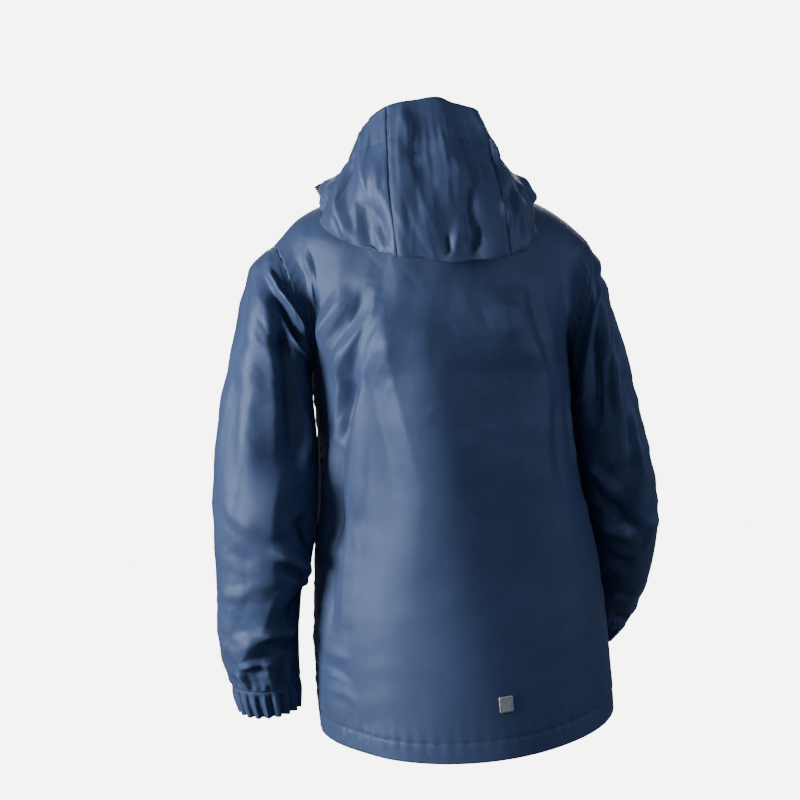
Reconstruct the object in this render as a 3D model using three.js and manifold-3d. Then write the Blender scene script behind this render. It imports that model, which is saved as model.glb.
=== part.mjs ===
// A child's hooded rain jacket as it hangs on the wearer, seen as real pieces of thin coated cloth.
// Millimetres, +Z up. The wearer faces -Y, so the back is at +Y and the wearer's left is at +X.
// The origin is the middle of the neck, level with the nape, where the wearer carries the jacket.
import * as THREE from "three";
import Module from "manifold-3d";

// Cloth and seams
const clothWall = 1.6;
const tapeWall = 1.2;
const seamGap = 0.35;
const sleeveBevel = 2.4; // the sleeve's inner face starts this far from the armhole

// Pose: the wearer's left shoulder is carried a little higher than the right one
const shoulderTilt = 0.07;
const tiltFullAboveZ = -100;
const tiltGoneBelowZ = -420;

// Neck seam and shoulder seam
const neckHalfWidth = 70;
const napeY = 58;
const shoulderSeamY = -5;
const neckSideZ = -6;
const neckFrontX = 44;
const neckFrontY = -84;
const neckFrontZ = -42;
const shoulderX = 168;
const shoulderZ = -57;
const shoulderRound = 2.1; // how late the shoulder seam drops towards the sleeve
// Share of a straight slope in the way a panel leaves its top edge, the rest being a quarter circle
const shoulderSlope = 0.1;
const frontSlope = 0.95;

// Armhole, an ellipse that leans in towards the underarm
const underarmX = 136;
const underarmZ = -182;
const armholeY = -5;
const armholeHalfDepth = 52;

// Body below the underarm: half width to the side seams, and depth behind and before them
const bodySections = [
  { z: -182, halfWidth: 136, back: 121, front: 112 },
  { z: -225, halfWidth: 135.5, back: 125, front: 117 },
  { z: -270, halfWidth: 136, back: 128, front: 120 },
  { z: -330, halfWidth: 141, back: 127, front: 121 },
  { z: -370, halfWidth: 149, back: 126, front: 121 },
  { z: -410, halfWidth: 154, back: 126, front: 121 },
  { z: -460, halfWidth: 158, back: 128, front: 122 },
  { z: -520, halfWidth: 160, back: 130, front: 123 },
  { z: -600, halfWidth: 160, back: 132, front: 124 },
];
const sideSeamY = -5;
const bodySquareness = 2.35; // 2 is an ellipse
const hemZ = -573;
const tailDrop = 19; // the back hem hangs this much lower than the sides

// Panel columns: the share of each panel's top edge that is neck, and the zip tape's share of a front
const backNeckShare = 5 / 12;
const frontNeckShare = 0.5;
const tapeShare = 0.034;
const frontGapShare = 0.0022;

// Soft folds that fall down the body. angle is round the body from the centre back, in degrees,
// towards the wearer's left; width and height are the fold's spread and how far it stands out.
const bodyFolds = [
  { topAngle: 40, topZ: -110, endAngle: 60, endZ: -500, width: 19, height: 9 },
  { topAngle: 22, topZ: -100, endAngle: 42, endZ: -540, width: 19, height: -9 },
  { topAngle: 6, topZ: -130, endAngle: 20, endZ: -640, width: 26, height: 7 },
  { topAngle: -14, topZ: -150, endAngle: -8, endZ: -640, width: 24, height: -5 },
  { topAngle: -36, topZ: -130, endAngle: -44, endZ: -520, width: 24, height: 7 },
  { topAngle: -58, topZ: -120, endAngle: -66, endZ: -540, width: 19, height: -6 },
  { topAngle: 112, topZ: -150, endAngle: 104, endZ: -560, width: 20, height: 6 },
  { topAngle: 138, topZ: -150, endAngle: 132, endZ: -600, width: 20, height: -5 },
  { topAngle: -112, topZ: -150, endAngle: -102, endZ: -560, width: 20, height: 6 },
  { topAngle: -140, topZ: -160, endAngle: -130, endZ: -600, width: 20, height: -5 },
];
const bodyFoldRadius = 130; // turns a body angle into millimetres
const foldFade = 45; // length over which a fold dies out

// Sleeves: each row is a ring through an outer and an inner point, seen from behind, with the
// middle's place forward or back, the half depth and the tilt of that depth in degrees
const leftSleeve = [
  { outerX: 168, outerZ: -57, innerX: 136, innerZ: -182, y: -5, halfDepth: 52, tilt: 0 },
  { outerX: 190, outerZ: -73, innerX: 140.5, innerZ: -196, y: -2, halfDepth: 53, tilt: 0 },
  { outerX: 207, outerZ: -112, innerX: 141, innerZ: -215, y: 1, halfDepth: 53, tilt: 0 },
  { outerX: 223, outerZ: -162, innerX: 140.5, innerZ: -240, y: 4, halfDepth: 52, tilt: 0 },
  { outerX: 240, outerZ: -217, innerX: 140.5, innerZ: -270, y: 7, halfDepth: 51, tilt: 0 },
  { outerX: 252, outerZ: -277, innerX: 143.5, innerZ: -303, y: 9, halfDepth: 51, tilt: 0 },
  { outerX: 259, outerZ: -332, innerX: 147.5, innerZ: -340, y: 8, halfDepth: 51, tilt: -1 },
  { outerX: 260, outerZ: -380, innerX: 156, innerZ: -380, y: 3, halfDepth: 49, tilt: -3 },
  { outerX: 261, outerZ: -420, innerX: 167, innerZ: -412, y: -4, halfDepth: 46, tilt: -6 },
  { outerX: 263, outerZ: -458, innerX: 174, innerZ: -450, y: -11, halfDepth: 43, tilt: -9 },
  { outerX: 260, outerZ: -490, innerX: 176, innerZ: -485, y: -17, halfDepth: 40, tilt: -10 },
  { outerX: 252, outerZ: -516, innerX: 177, innerZ: -514, y: -22, halfDepth: 36, tilt: -10 },
];
const rightSleeve = [
  { outerX: 168, outerZ: -57, innerX: 136, innerZ: -182, y: -5, halfDepth: 52, tilt: 0 },
  { outerX: 179, outerZ: -80, innerX: 139.5, innerZ: -196, y: -4, halfDepth: 52, tilt: 0 },
  { outerX: 188, outerZ: -120, innerX: 140.5, innerZ: -215, y: -5, halfDepth: 52, tilt: 0 },
  { outerX: 202, outerZ: -172, innerX: 140, innerZ: -241, y: -6, halfDepth: 51, tilt: 0 },
  { outerX: 212, outerZ: -228, innerX: 140, innerZ: -271, y: -7, halfDepth: 50, tilt: 0 },
  { outerX: 220, outerZ: -285, innerX: 143, innerZ: -306, y: -9, halfDepth: 50, tilt: -2 },
  { outerX: 230, outerZ: -341, innerX: 147.5, innerZ: -346, y: -16, halfDepth: 49, tilt: -7 },
  { outerX: 232, outerZ: -385, innerX: 153, innerZ: -380, y: -31, halfDepth: 47, tilt: -15 },
  { outerX: 229, outerZ: -427, innerX: 155, innerZ: -414, y: -52, halfDepth: 44, tilt: -23 },
  { outerX: 221, outerZ: -466, innerX: 154, innerZ: -448, y: -74, halfDepth: 40, tilt: -28 },
  { outerX: 208, outerZ: -498, innerX: 150, innerZ: -482, y: -94, halfDepth: 35, tilt: -30 },
];
// Sleeve folds: around is in degrees from the outer line towards the back, along is 0 at the armhole
// and 1 at the cuff
const leftSleeveFolds = [
  { around: 75, along: 0.08, endAround: 120, endAlong: 0.34, width: 11, height: -7 },
  { around: 40, along: 0.1, endAround: 70, endAlong: 0.5, width: 13, height: 5 },
  { around: 170, along: 0.62, endAround: 95, endAlong: 0.7, width: 12, height: 6 },
  { around: 180, along: 0.72, endAround: 110, endAlong: 0.79, width: 11, height: -8 },
  { around: 110, along: 0.84, endAround: 60, endAlong: 0.95, width: 10, height: -5 },
  { around: -60, along: 0.55, endAround: -120, endAlong: 0.68, width: 13, height: -6 },
  { around: -100, along: 0.72, endAround: -50, endAlong: 0.84, width: 12, height: 5 },
];
const rightSleeveFolds = [
  { around: 60, along: 0.08, endAround: 85, endAlong: 0.45, width: 11, height: 6 },
  { around: 90, along: 0.1, endAround: 120, endAlong: 0.42, width: 11, height: -7 },
  { around: 20, along: 0.45, endAround: 100, endAlong: 0.66, width: 12, height: 7 },
  { around: 130, along: 0.6, endAround: 60, endAlong: 0.72, width: 11, height: -6 },
  { around: 40, along: 0.8, endAround: 90, endAlong: 0.92, width: 10, height: 5 },
  { around: -70, along: 0.6, endAround: -130, endAlong: 0.7, width: 12, height: -6 },
];
const sleeveFoldRadius = 50;

// Elastic cuffs: where the hand comes out, with the cuff's own gathers
const cuffGathers = 18;
const gatherDepth = 1.7;
const leftCuffEnd = {
  outerX: 245, outerZ: -549, innerX: 178, innerZ: -546, y: -26, halfDepth: 30, tilt: -10,
};
const rightCuffEnd = {
  outerX: 190, outerZ: -524, innerX: 145, innerZ: -510, y: -110, halfDepth: 29, tilt: -30,
};

// Hood, worn down: each row runs from the neck seam over the lowest fold of the bag to the opening's edge.
// share is 0 at the centre back and 1 at the front end of the neck seam. stand is how far the cloth
// rises from the neck seam before it turns over.
const hoodLeft = [
  { share: 0.0, stand: 13, foldX: 0, foldY: 148, foldZ: -64, edgeX: 0, edgeY: 88, edgeZ: 101 },
  { share: 0.22, stand: 13, foldX: 58, foldY: 140, foldZ: -59, edgeX: 50, edgeY: 83, edgeZ: 92 },
  { share: 0.42, stand: 13, foldX: 106, foldY: 100, foldZ: -46, edgeX: 74, edgeY: 60, edgeZ: 68 },
  { share: 0.6, stand: 12, foldX: 125, foldY: 52, foldZ: -27, edgeX: 78, edgeY: 24, edgeZ: 42 },
  { share: 0.8, stand: 10, foldX: 107, foldY: -20, foldZ: 0, edgeX: 86, edgeY: -30, edgeZ: 18 },
  { share: 1.0, stand: 7, foldX: 98, foldY: -80, foldZ: -28, edgeX: 113, edgeY: -64, edgeZ: 2 },
];
const hoodRight = [
  { share: 0.0, stand: 13, foldX: 0, foldY: 148, foldZ: -64, edgeX: 0, edgeY: 88, edgeZ: 101 },
  { share: 0.22, stand: 13, foldX: 58, foldY: 140, foldZ: -60, edgeX: 46, edgeY: 83, edgeZ: 84 },
  { share: 0.42, stand: 13, foldX: 95, foldY: 98, foldZ: -41, edgeX: 58, edgeY: 60, edgeZ: 54 },
  { share: 0.6, stand: 12, foldX: 98, foldY: 48, foldZ: -13, edgeX: 74, edgeY: 24, edgeZ: 32 },
  { share: 0.8, stand: 10, foldX: 94, foldY: -20, foldZ: 0, edgeX: 78, edgeY: -30, edgeZ: 16 },
  { share: 1.0, stand: 7, foldX: 86, foldY: -82, foldZ: -28, edgeX: 96, edgeY: -68, edgeZ: -2 },
];
const hoodSeamShare = 0.22;
const hoodGapShare = 0.0013;
const hoodTapeShare = tapeShare + frontGapShare;
const neckLift = 0.9; // clears the body panels under the neck seam
const underLift = 14; // the bag's underside lies this far above the straight line to its fold
const outerBulge = 9;
const hoodFolds = [
  { share: 0.34, along: 0.52, endShare: 0.3, endAlong: 0.86, width: 14, height: -8 },
  { share: 0.52, along: 0.6, endShare: 0.4, endAlong: 0.9, width: 12, height: 6 },
  { share: 0.66, along: 0.5, endShare: 0.58, endAlong: 0.92, width: 11, height: -6 },
  { share: -0.05, along: 0.55, endShare: -0.1, endAlong: 0.8, width: 16, height: -5 },
  { share: -0.3, along: 0.5, endShare: -0.34, endAlong: 0.88, width: 13, height: 6 },
  { share: -0.46, along: 0.55, endShare: -0.42, endAlong: 0.9, width: 12, height: -7 },
  { share: -0.62, along: 0.5, endShare: -0.58, endAlong: 0.85, width: 11, height: 5 },
];
const hoodFoldAround = 400; // a hood share in millimetres, at the bag's widest
const hoodFoldAlong = 250;
const casingFrom = 0.9; // the elastic casing along the opening's edge starts here
const casingGathers = 7; // on each side
const casingGatherDepth = 1.6;
const casingStart = 0.27;
const casingEnd = 0.685;

// Reflective tab near the back hem
const tab = { angle: -7.2, z: -533, width: 12, height: 17, wall: 0.8, standOff: 0.35 };

// Zip slider and its pull. The slider stands where the zip starts to part, its place given as v on the front.
const slider = {
  v: 0.965, width: 8.6, flareWidth: 10.6, length: 13, cornerRadius: 2.4,
  plate: 1.5, before: 1.2, behind: 0.5, wedgeWidth: 3, wedgeLength: 6,
};
const arch = { length: 9.6, width: 2, height: 5, bar: 1.2 };
const pull = { width: 7, length: 27, wall: 1.4, windowWidth: 3.6, windowLength: 7, crossbar: 1.5 };
const pullAxis = { down: 1.6, out: 1.9 }; // from the middle of the slider's front face

// Block that joins the tapes at the hem
const zipBox = { width: 14.4, height: 9, depth: 3.2, up: 0.8, top: 10.3 };

// Grid sizes
const backColumns = 25;
const frontNeckColumns = 6;
const frontShoulderColumns = 6;
const bodyRows = 22;
const yokeRows = 11;
const sleeveColumns = 20;
const sleeveRows = 18;
const cuffRows = 3;
const hoodRows = 12;
const gussetColumns = 7;
const gussetRows = 14;

const cloth = { color: 0x2d3d5c, roughness: 0.42, metalness: 0 };
const zipTapeCloth = { color: 0x1b2436, roughness: 0.8, metalness: 0 };
const reflective = { color: 0xb9bdbd, roughness: 0.45, metalness: 0 };
const zipPlastic = { color: 0x161c2a, roughness: 0.35, metalness: 0 };

const degrees = Math.PI / 180;
const clamp01 = (value) => Math.min(1, Math.max(0, value));
const smooth = (value) => clamp01(value) ** 2 * (3 - 2 * clamp01(value));
const mix = (a, b, share) => a + (b - a) * share;

// A smooth curve through rows of numbers at even steps; place runs from 0 to 1
function curveThrough(rows, place) {
  const at = clamp01(place) * (rows.length - 1);
  const first = Math.min(Math.floor(at), rows.length - 2);
  const f = at - first;
  const b = rows[first];
  const c = rows[first + 1];
  const a = rows[first - 1] ?? b.map((value, k) => 2 * value - c[k]);
  const d = rows[first + 2] ?? c.map((value, k) => 2 * value - b[k]);
  return b.map((value, k) => {
    const square = 2 * a[k] - 5 * value + 4 * c[k] - d[k];
    const cube = -a[k] + 3 * value - 3 * c[k] + d[k];
    return value + 0.5 * f * (c[k] - a[k] + f * (square + f * cube));
  });
}

// The value of one column of a table at a place given by its key column, smoothly between the rows
function fromTable(table, key, place, column) {
  const rising = table[1][key] > table[0][key];
  const past = (row) => (rising ? row[key] > place : row[key] < place);
  let next = table.findIndex(past);
  if (next < 0) next = table.length - 1;
  next = Math.max(next, 1);
  const a = table[next - 1];
  const b = table[next];
  const slope = (p, q) => (q[column] - p[column]) / (q[key] - p[key]);
  const before = table[next - 2] ?? a;
  const after = table[next + 1] ?? b;
  const step = b[key] - a[key];
  const startSlope = before === a ? slope(a, b) : slope(before, b);
  const endSlope = after === b ? slope(a, b) : slope(a, after);
  const f = (place - a[key]) / step;
  const g = 1 - f;
  return (
    a[column] * g * g * (1 + 2 * f) +
    b[column] * f * f * (1 + 2 * g) +
    step * (startSlope * f * g * g - endSlope * f * f * g)
  );
}

// How far a fold lifts the cloth at (x, y): a soft ridge along a straight stretch that dies out at its ends
function foldLift(x, y, x0, y0, x1, y1, width, height) {
  const length = Math.hypot(x1 - x0, y1 - y0);
  const along = ((x - x0) * (x1 - x0) + (y - y0) * (y1 - y0)) / length;
  const across = ((x - x0) * (y1 - y0) - (y - y0) * (x1 - x0)) / length;
  const fade = Math.min(foldFade, length / 2);
  const ends = smooth(along / fade) * smooth((length - along) / fade);
  return height * ends * Math.exp(-((across / width) ** 2));
}

// Neck seam of the back: angle 0 at the nape, 90 degrees at the shoulder seam
function backNeck(angle) {
  const sine = Math.sin(angle);
  const cosine = Math.cos(Math.abs(angle));
  const y = shoulderSeamY + (napeY - shoulderSeamY) * cosine;
  return new THREE.Vector3(neckHalfWidth * sine, y, neckSideZ * (1 - cosine));
}

// Neck seam of a front: 0 at the zip, 1 at the shoulder seam
function frontNeck(share) {
  const turn = (share * Math.PI) / 2;
  return new THREE.Vector3(
    neckFrontX + (neckHalfWidth - neckFrontX) * Math.sin(turn),
    shoulderSeamY + (neckFrontY - shoulderSeamY) * Math.cos(turn),
    neckSideZ + (neckFrontZ - neckSideZ) * Math.cos(turn) ** 1.5,
  );
}

function shoulderSeam(share) {
  return new THREE.Vector3(
    mix(neckHalfWidth, shoulderX, share),
    shoulderSeamY + (armholeY - shoulderSeamY) * share,
    neckSideZ + (shoulderZ - neckSideZ) * share ** shoulderRound,
  );
}

// Point on the armhole: turn 0 at the shoulder, 180 degrees at the underarm; side is 1 behind, -1 in front
function armhole(turn, side) {
  return new THREE.Vector3(
    mix(shoulderX, underarmX, (1 - Math.cos(turn)) / 2),
    armholeY + side * armholeHalfDepth * Math.sin(turn),
    mix(shoulderZ, underarmZ, (1 - Math.cos(turn)) / 2),
  );
}

// Ring round the body: angle 0 at the centre back, 180 degrees at the centre front
function bodyRing(z, angle) {
  const sine = Math.sin(angle);
  const cosine = Math.cos(angle);
  const n = bodySquareness;
  const reach = (Math.abs(sine) ** n + Math.abs(cosine) ** n) ** (-1 / n);
  const halfWidth = fromTable(bodySections, "z", z, "halfWidth");
  const depth = fromTable(bodySections, "z", z, cosine > 0 ? "back" : "front");
  return new THREE.Vector3(halfWidth * reach * sine, sideSeamY + depth * reach * cosine, z);
}

// Plain surface of the body, without its folds. side 1 is the back and u runs -1 to 1 across it;
// side -1 is a front and u runs 0 at the zip to 1 at the side. v is 0 at the top edge, 1 at the
// underarm and 2 at the hem.
function bodyForm(side, u, v) {
  const across = Math.abs(u);
  const angle = side > 0 ? (u * Math.PI) / 2 : Math.PI - (u * Math.PI) / 2;
  if (v >= 1) {
    const drop = tailDrop * Math.max(0, Math.cos(angle)) ** 1.5;
    return bodyRing(mix(underarmZ, hemZ - drop, v - 1), angle);
  }
  const neckShare = side > 0 ? backNeckShare : frontNeckShare;
  const onNeck = across < neckShare;
  let top;
  if (!onNeck) top = shoulderSeam((across - neckShare) / (1 - neckShare));
  else if (side > 0) top = backNeck(((across / neckShare) * Math.PI) / 2);
  else top = frontNeck(across / neckShare);
  const chest = bodyRing(underarmZ, side > 0 ? (across * Math.PI) / 2 : angle);
  const turn = (v * Math.PI) / 2;
  const inFront = side > 0 ? 0 : Math.sqrt(clamp01(1 - across / neckShare));
  const slope = mix(shoulderSlope, frontSlope, inFront);
  const roll = (from, to) =>
    new THREE.Vector3(
      mix(from.x, to.x, v),
      mix(from.y, to.y, mix(Math.sin(turn), v, slope * 0.5)),
      mix(from.z, to.z, mix(1 - Math.cos(turn), v, slope)),
    );
  const point = roll(top, chest);
  const sideEdge = roll(shoulderSeam(1), bodyRing(underarmZ, Math.PI / 2));
  const pulled = armhole(v * Math.PI, side).sub(sideEdge);
  point.addScaledVector(pulled, across ** 4);
  if (side > 0 && u < 0) point.x = -point.x;
  return point;
}

// Folds leave the armhole edges alone, so that body and sleeve meet there
function armholeFade(u, v) {
  return Math.max(smooth((1 - Math.abs(u)) * 5), smooth((v - 1) * 5));
}

function bodyFoldHeight(angle, z) {
  let sum = 0;
  for (const fold of bodyFolds) {
    const around = bodyFoldRadius * degrees;
    const turn = angle / degrees;
    sum += foldLift(
      turn * around, z, fold.topAngle * around, fold.topZ, fold.endAngle * around, fold.endZ,
      fold.width, fold.height,
    );
  }
  return sum;
}

// The pose's tilt of the shoulders, shared by every piece so that they stay together
function posed(point) {
  const share = smooth((point.z - tiltGoneBelowZ) / (tiltFullAboveZ - tiltGoneBelowZ));
  return new THREE.Vector3(point.x, point.y, point.z + shoulderTilt * share * point.x);
}

// Outward direction of a surface at (u, v), from small steps each way
function facing(surface, u, v, outward) {
  const step = 1e-3;
  const alongU = surface(u + step, v).sub(surface(u - step, v));
  const alongV = surface(u, v + step).sub(surface(u, v - step));
  return alongU.cross(alongV).normalize().multiplyScalar(outward);
}

// A sheet of cloth with a thickness, over a grid of places. form(u, v) is the plain surface, lift(u, v)
// moves it along its outward direction, and closed joins the last column to the first. bevel sets the
// inner face's first row back, and normalAt(u, v) gives the place whose outward direction is used.
function clothPiece(form, lift, us, vs, outward, options = {}) {
  const thickness = options.wall ?? clothWall;
  const closed = options.closed ?? false;
  const standOff = options.standOff ?? 0;
  const bevel = options.bevel ?? 0;
  const normalAt = options.normalAt ?? ((u) => u);
  const outer = [];
  const inner = [];
  for (const v of vs) {
    for (const u of us) {
      const innerV = v === vs[0] ? v + bevel : v;
      const normal = facing(form, normalAt(u, v), v, outward);
      const height = lift(u, v) + standOff;
      outer.push(posed(form(u, v).addScaledVector(normal, height)));
      inner.push(posed(form(u, innerV).addScaledVector(normal, height - thickness)));
    }
  }
  return wallGeometry(outer, inner, us.length, vs.length, closed);
}

// Joins an outer and an inner grid of points into one closed body
function wallGeometry(outer, inner, columns, rows, closed) {
  const points = [...outer, ...inner];
  const innerStart = outer.length;
  const faces = [];
  const quad = (a, b, c, d) => faces.push(a, b, c, a, c, d);
  const spans = closed ? columns : columns - 1;
  const at = (row, column) => row * columns + (column % columns);
  for (let row = 0; row < rows - 1; row++) {
    for (let column = 0; column < spans; column++) {
      const a = at(row, column);
      const b = at(row, column + 1);
      const c = at(row + 1, column + 1);
      const d = at(row + 1, column);
      quad(a, b, c, d);
      quad(innerStart + d, innerStart + c, innerStart + b, innerStart + a);
    }
  }
  for (let column = 0; column < spans; column++) {
    const a = at(0, column);
    const b = at(0, column + 1);
    const c = at(rows - 1, column);
    const d = at(rows - 1, column + 1);
    quad(b, a, innerStart + a, innerStart + b);
    quad(c, d, innerStart + d, innerStart + c);
  }
  if (!closed) {
    for (let row = 0; row < rows - 1; row++) {
      const a = at(row, 0);
      const b = at(row + 1, 0);
      const c = at(row, columns - 1);
      const d = at(row + 1, columns - 1);
      quad(a, b, innerStart + b, innerStart + a);
      quad(d, c, innerStart + c, innerStart + d);
    }
  }
  return solidGeometry(points, faces);
}

// A geometry from points and triangles, turned the right way out
function solidGeometry(points, faces) {
  const middle = points[0];
  let volume = 0;
  for (let k = 0; k < faces.length; k += 3) {
    const [a, b, c] = faces.slice(k, k + 3).map((index) => points[index].clone().sub(middle));
    volume += a.dot(b.cross(c));
  }
  const order = volume < 0 ? faces.slice().reverse() : faces;
  const geometry = new THREE.BufferGeometry().setFromPoints(points);
  geometry.setIndex(order);
  geometry.computeVertexNormals();
  return geometry;
}

function steps(count, from = 0, to = 1) {
  return Array.from({ length: count }, (_, k) => mix(from, to, k / (count - 1)));
}

// Rows down a body panel: closer together over the yoke, with a sewing gap at the top edge
function bodyPlaces() {
  const topGap = seamGap / 2 / 100;
  return [...steps(yokeRows, topGap, 1), ...steps(bodyRows - yokeRows + 1, 1, 2).slice(1)];
}

function bodySurface(side, mirror) {
  return (u, v) => {
    const point = bodyForm(side, u, v);
    if (mirror) point.x = -point.x;
    return point;
  };
}

// Near the underarm the rows and columns of a panel pinch together, so the wall's direction is taken
// a little way in from the armhole edge
function insideArmhole(u, v) {
  const reach = mix(0.93, 1, smooth((v - 1.02) * 8));
  return Math.sign(u) * Math.min(Math.abs(u), reach);
}

function backPanel() {
  const edge = 1 - seamGap / 2 / 200;
  const lift = (u, v) => bodyFoldHeight((u * Math.PI) / 2, bodyForm(1, u, v).z) * armholeFade(u, v);
  const options = { normalAt: insideArmhole };
  return clothPiece(bodySurface(1, false), lift, steps(backColumns, -edge, edge), bodyPlaces(), 1, options);
}

// Columns of a front along its neck seam; the hood has its own columns at the same places
function frontNeckPlaces() {
  return steps(frontNeckColumns, tapeShare + frontGapShare, frontNeckShare);
}

// mirror is false for the wearer's left front and true for the right one
function frontPanel(mirror) {
  const side = mirror ? -1 : 1;
  const lift = (u, v) => {
    const height = bodyFoldHeight(side * (Math.PI - (u * Math.PI) / 2), bodyForm(-1, u, v).z);
    return height * smooth((u - 0.08) * 8) * armholeFade(u, v);
  };
  const shoulderPlaces = steps(frontShoulderColumns, frontNeckShare, 1 - seamGap / 2 / 200);
  const places = [...frontNeckPlaces(), ...shoulderPlaces.slice(1)];
  const options = { normalAt: insideArmhole };
  return clothPiece(bodySurface(-1, mirror), lift, places, bodyPlaces(), -side, options);
}

// Ring of a sleeve at a place from 0 at the armhole to 1 at its end, and an angle round it
function sleeveForm(table, mirror) {
  const rows = table.map((row) => [
    row.outerX, row.outerZ, row.innerX, row.innerZ, row.y, row.halfDepth, row.tilt,
  ]);
  return (turn, place) => {
    const [outerX, outerZ, innerX, innerZ, y, halfDepth, tilt] = curveThrough(rows, place);
    const cosine = Math.cos(turn);
    const depth = halfDepth * Math.sin(turn);
    const point = new THREE.Vector3(
      (outerX + innerX) / 2 + (cosine * (outerX - innerX)) / 2,
      y + depth * Math.cos(tilt * degrees),
      (outerZ + innerZ) / 2 + (cosine * (outerZ - innerZ)) / 2 + depth * Math.sin(tilt * degrees),
    );
    if (mirror) point.x = -point.x;
    return point;
  };
}

function sleeveFoldHeight(folds, length, turn, place) {
  let sum = 0;
  const around = sleeveFoldRadius * degrees;
  for (const fold of folds) {
    for (const whole of [-360, 0, 360]) {
      const start = (fold.around + whole) * around;
      const end = (fold.endAround + whole) * around;
      sum += foldLift(
        turn * sleeveFoldRadius, place * length, start, fold.along * length, end,
        fold.endAlong * length, fold.width, fold.height,
      );
    }
  }
  return sum;
}

const sleeveLength = 470;

function sleeve(table, folds, mirror) {
  const form = sleeveForm(table, mirror);
  const turns = steps(sleeveColumns + 1, 0, 2 * Math.PI).slice(0, -1);
  const startGap = (2 * seamGap) / sleeveLength;
  const endGap = seamGap / 2 / sleeveLength;
  const lift = (turn, place) => {
    const signed = turn > Math.PI ? turn - 2 * Math.PI : turn;
    const nearEnds = smooth(place * 9) * smooth((1 - place) * 14);
    return nearEnds * sleeveFoldHeight(folds, sleeveLength, signed, place);
  };
  const places = steps(sleeveRows, startGap, 1 - endGap);
  const options = { closed: true, bevel: sleeveBevel / sleeveLength };
  return clothPiece(form, lift, turns, places, mirror ? 1 : -1, options);
}

// The elastic casing at the wrist: it starts where the sleeve ends and gathers into even small folds
function cuff(table, end, mirror) {
  const start = table[table.length - 1];
  const swell = { y: 0.5, out: 1.5 };
  const middleRow = {
    outerX: mix(start.outerX, end.outerX, 0.5) + swell.out,
    outerZ: mix(start.outerZ, end.outerZ, 0.5),
    innerX: mix(start.innerX, end.innerX, 0.5) - swell.out,
    innerZ: mix(start.innerZ, end.innerZ, 0.5),
    y: mix(start.y, end.y, 0.5),
    halfDepth: mix(start.halfDepth, end.halfDepth, 0.5) + swell.y,
    tilt: end.tilt,
  };
  const before = table[table.length - 2];
  const form = sleeveForm([before, start, middleRow, end], mirror);
  const columns = cuffGathers * 3;
  const turns = steps(columns + 1, 0, 2 * Math.PI).slice(0, -1);
  const from = 1 / 3 + seamGap / 60;
  const lift = (turn, place) => {
    const grow = smooth((place - from) * 5);
    return gatherDepth * grow * (Math.cos(turn * cuffGathers) - 0.4);
  };
  return clothPiece(form, lift, turns, steps(cuffRows, from, 1), mirror ? 1 : -1, { closed: true });
}

function neckAt(share) {
  const side = Math.abs(share);
  const backShare = 0.5;
  const point =
    side < backShare
      ? backNeck(((side / backShare) * Math.PI) / 2)
      : frontNeck(1 - (side - backShare) / (1 - backShare));
  return point;
}

// Hood surface: share runs -1 to 1 round the neck, 0 at the centre back; along runs from the neck seam
// under the bag, round its lowest fold and up to the opening's edge
function hoodForm(share, along) {
  const side = Math.abs(share);
  const table = share < 0 ? hoodRight : hoodLeft;
  const column = (name) => fromTable(table, "share", side, name);
  const flat = smooth(side / 0.08); // keeps the centre back level across
  const height = (name) => mix(table[0][name], column(name), flat);
  const seamLine = neckAt(side);
  seamLine.z += neckLift;
  const fold = new THREE.Vector3(column("foldX"), height("foldY"), height("foldZ"));
  const edge = new THREE.Vector3(column("edgeX"), height("edgeY"), height("edgeZ"));
  const outwards = new THREE.Vector3(fold.x - seamLine.x, fold.y - seamLine.y, 0).normalize();
  const stand = seamLine.clone().addScaledVector(outwards, column("stand") * 0.8);
  stand.z += column("stand");
  const under = seamLine.clone().lerp(fold, 0.55);
  const bagShare = 1 - smooth((side - 0.7) / 0.3);
  under.z += underLift * bagShare;
  const outer = fold.clone().lerp(edge, 0.45);
  const away = new THREE.Vector3(outer.x, outer.y + 20, 0).normalize();
  outer.addScaledVector(away, outerBulge * bagShare);
  const rows = [seamLine, stand, under, fold, outer, edge].map((p) => p.toArray());
  const point = new THREE.Vector3(...curveThrough(rows, along));
  if (share < 0) point.x = -point.x;
  return point;
}

function hoodLift(share, along) {
  let sum = 0;
  for (const fold of hoodFolds) {
    sum += foldLift(
      share * hoodFoldAround, along * hoodFoldAlong, fold.share * hoodFoldAround,
      fold.along * hoodFoldAlong, fold.endShare * hoodFoldAround, fold.endAlong * hoodFoldAlong,
      fold.width, fold.height,
    );
  }
  const side = Math.abs(share);
  const inCasing = smooth((side - casingStart) * 20) * smooth((casingEnd - side) * 20);
  const place = (side - casingStart) / (casingEnd - casingStart);
  const wave = Math.cos(place * casingGathers * 2 * Math.PI);
  return sum + casingGatherDepth * wave * inCasing * smooth((along - casingFrom + 0.06) * 12);
}

function hoodPiece(places, rows) {
  return clothPiece(hoodForm, hoodLift, places, steps(rows, 0, 1), -1);
}

// Columns of a hood side, close together where the casing is gathered
function hoodSidePlaces() {
  const gathered = steps(casingGathers * 3 + 1, casingStart, casingEnd);
  const behind = hoodSeamShare + hoodGapShare;
  const after = frontNeckPlaces().slice(0, 3).map((u) => 1 - u).reverse();
  return [behind, mix(behind, casingStart, 0.5), ...gathered, ...after];
}

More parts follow.
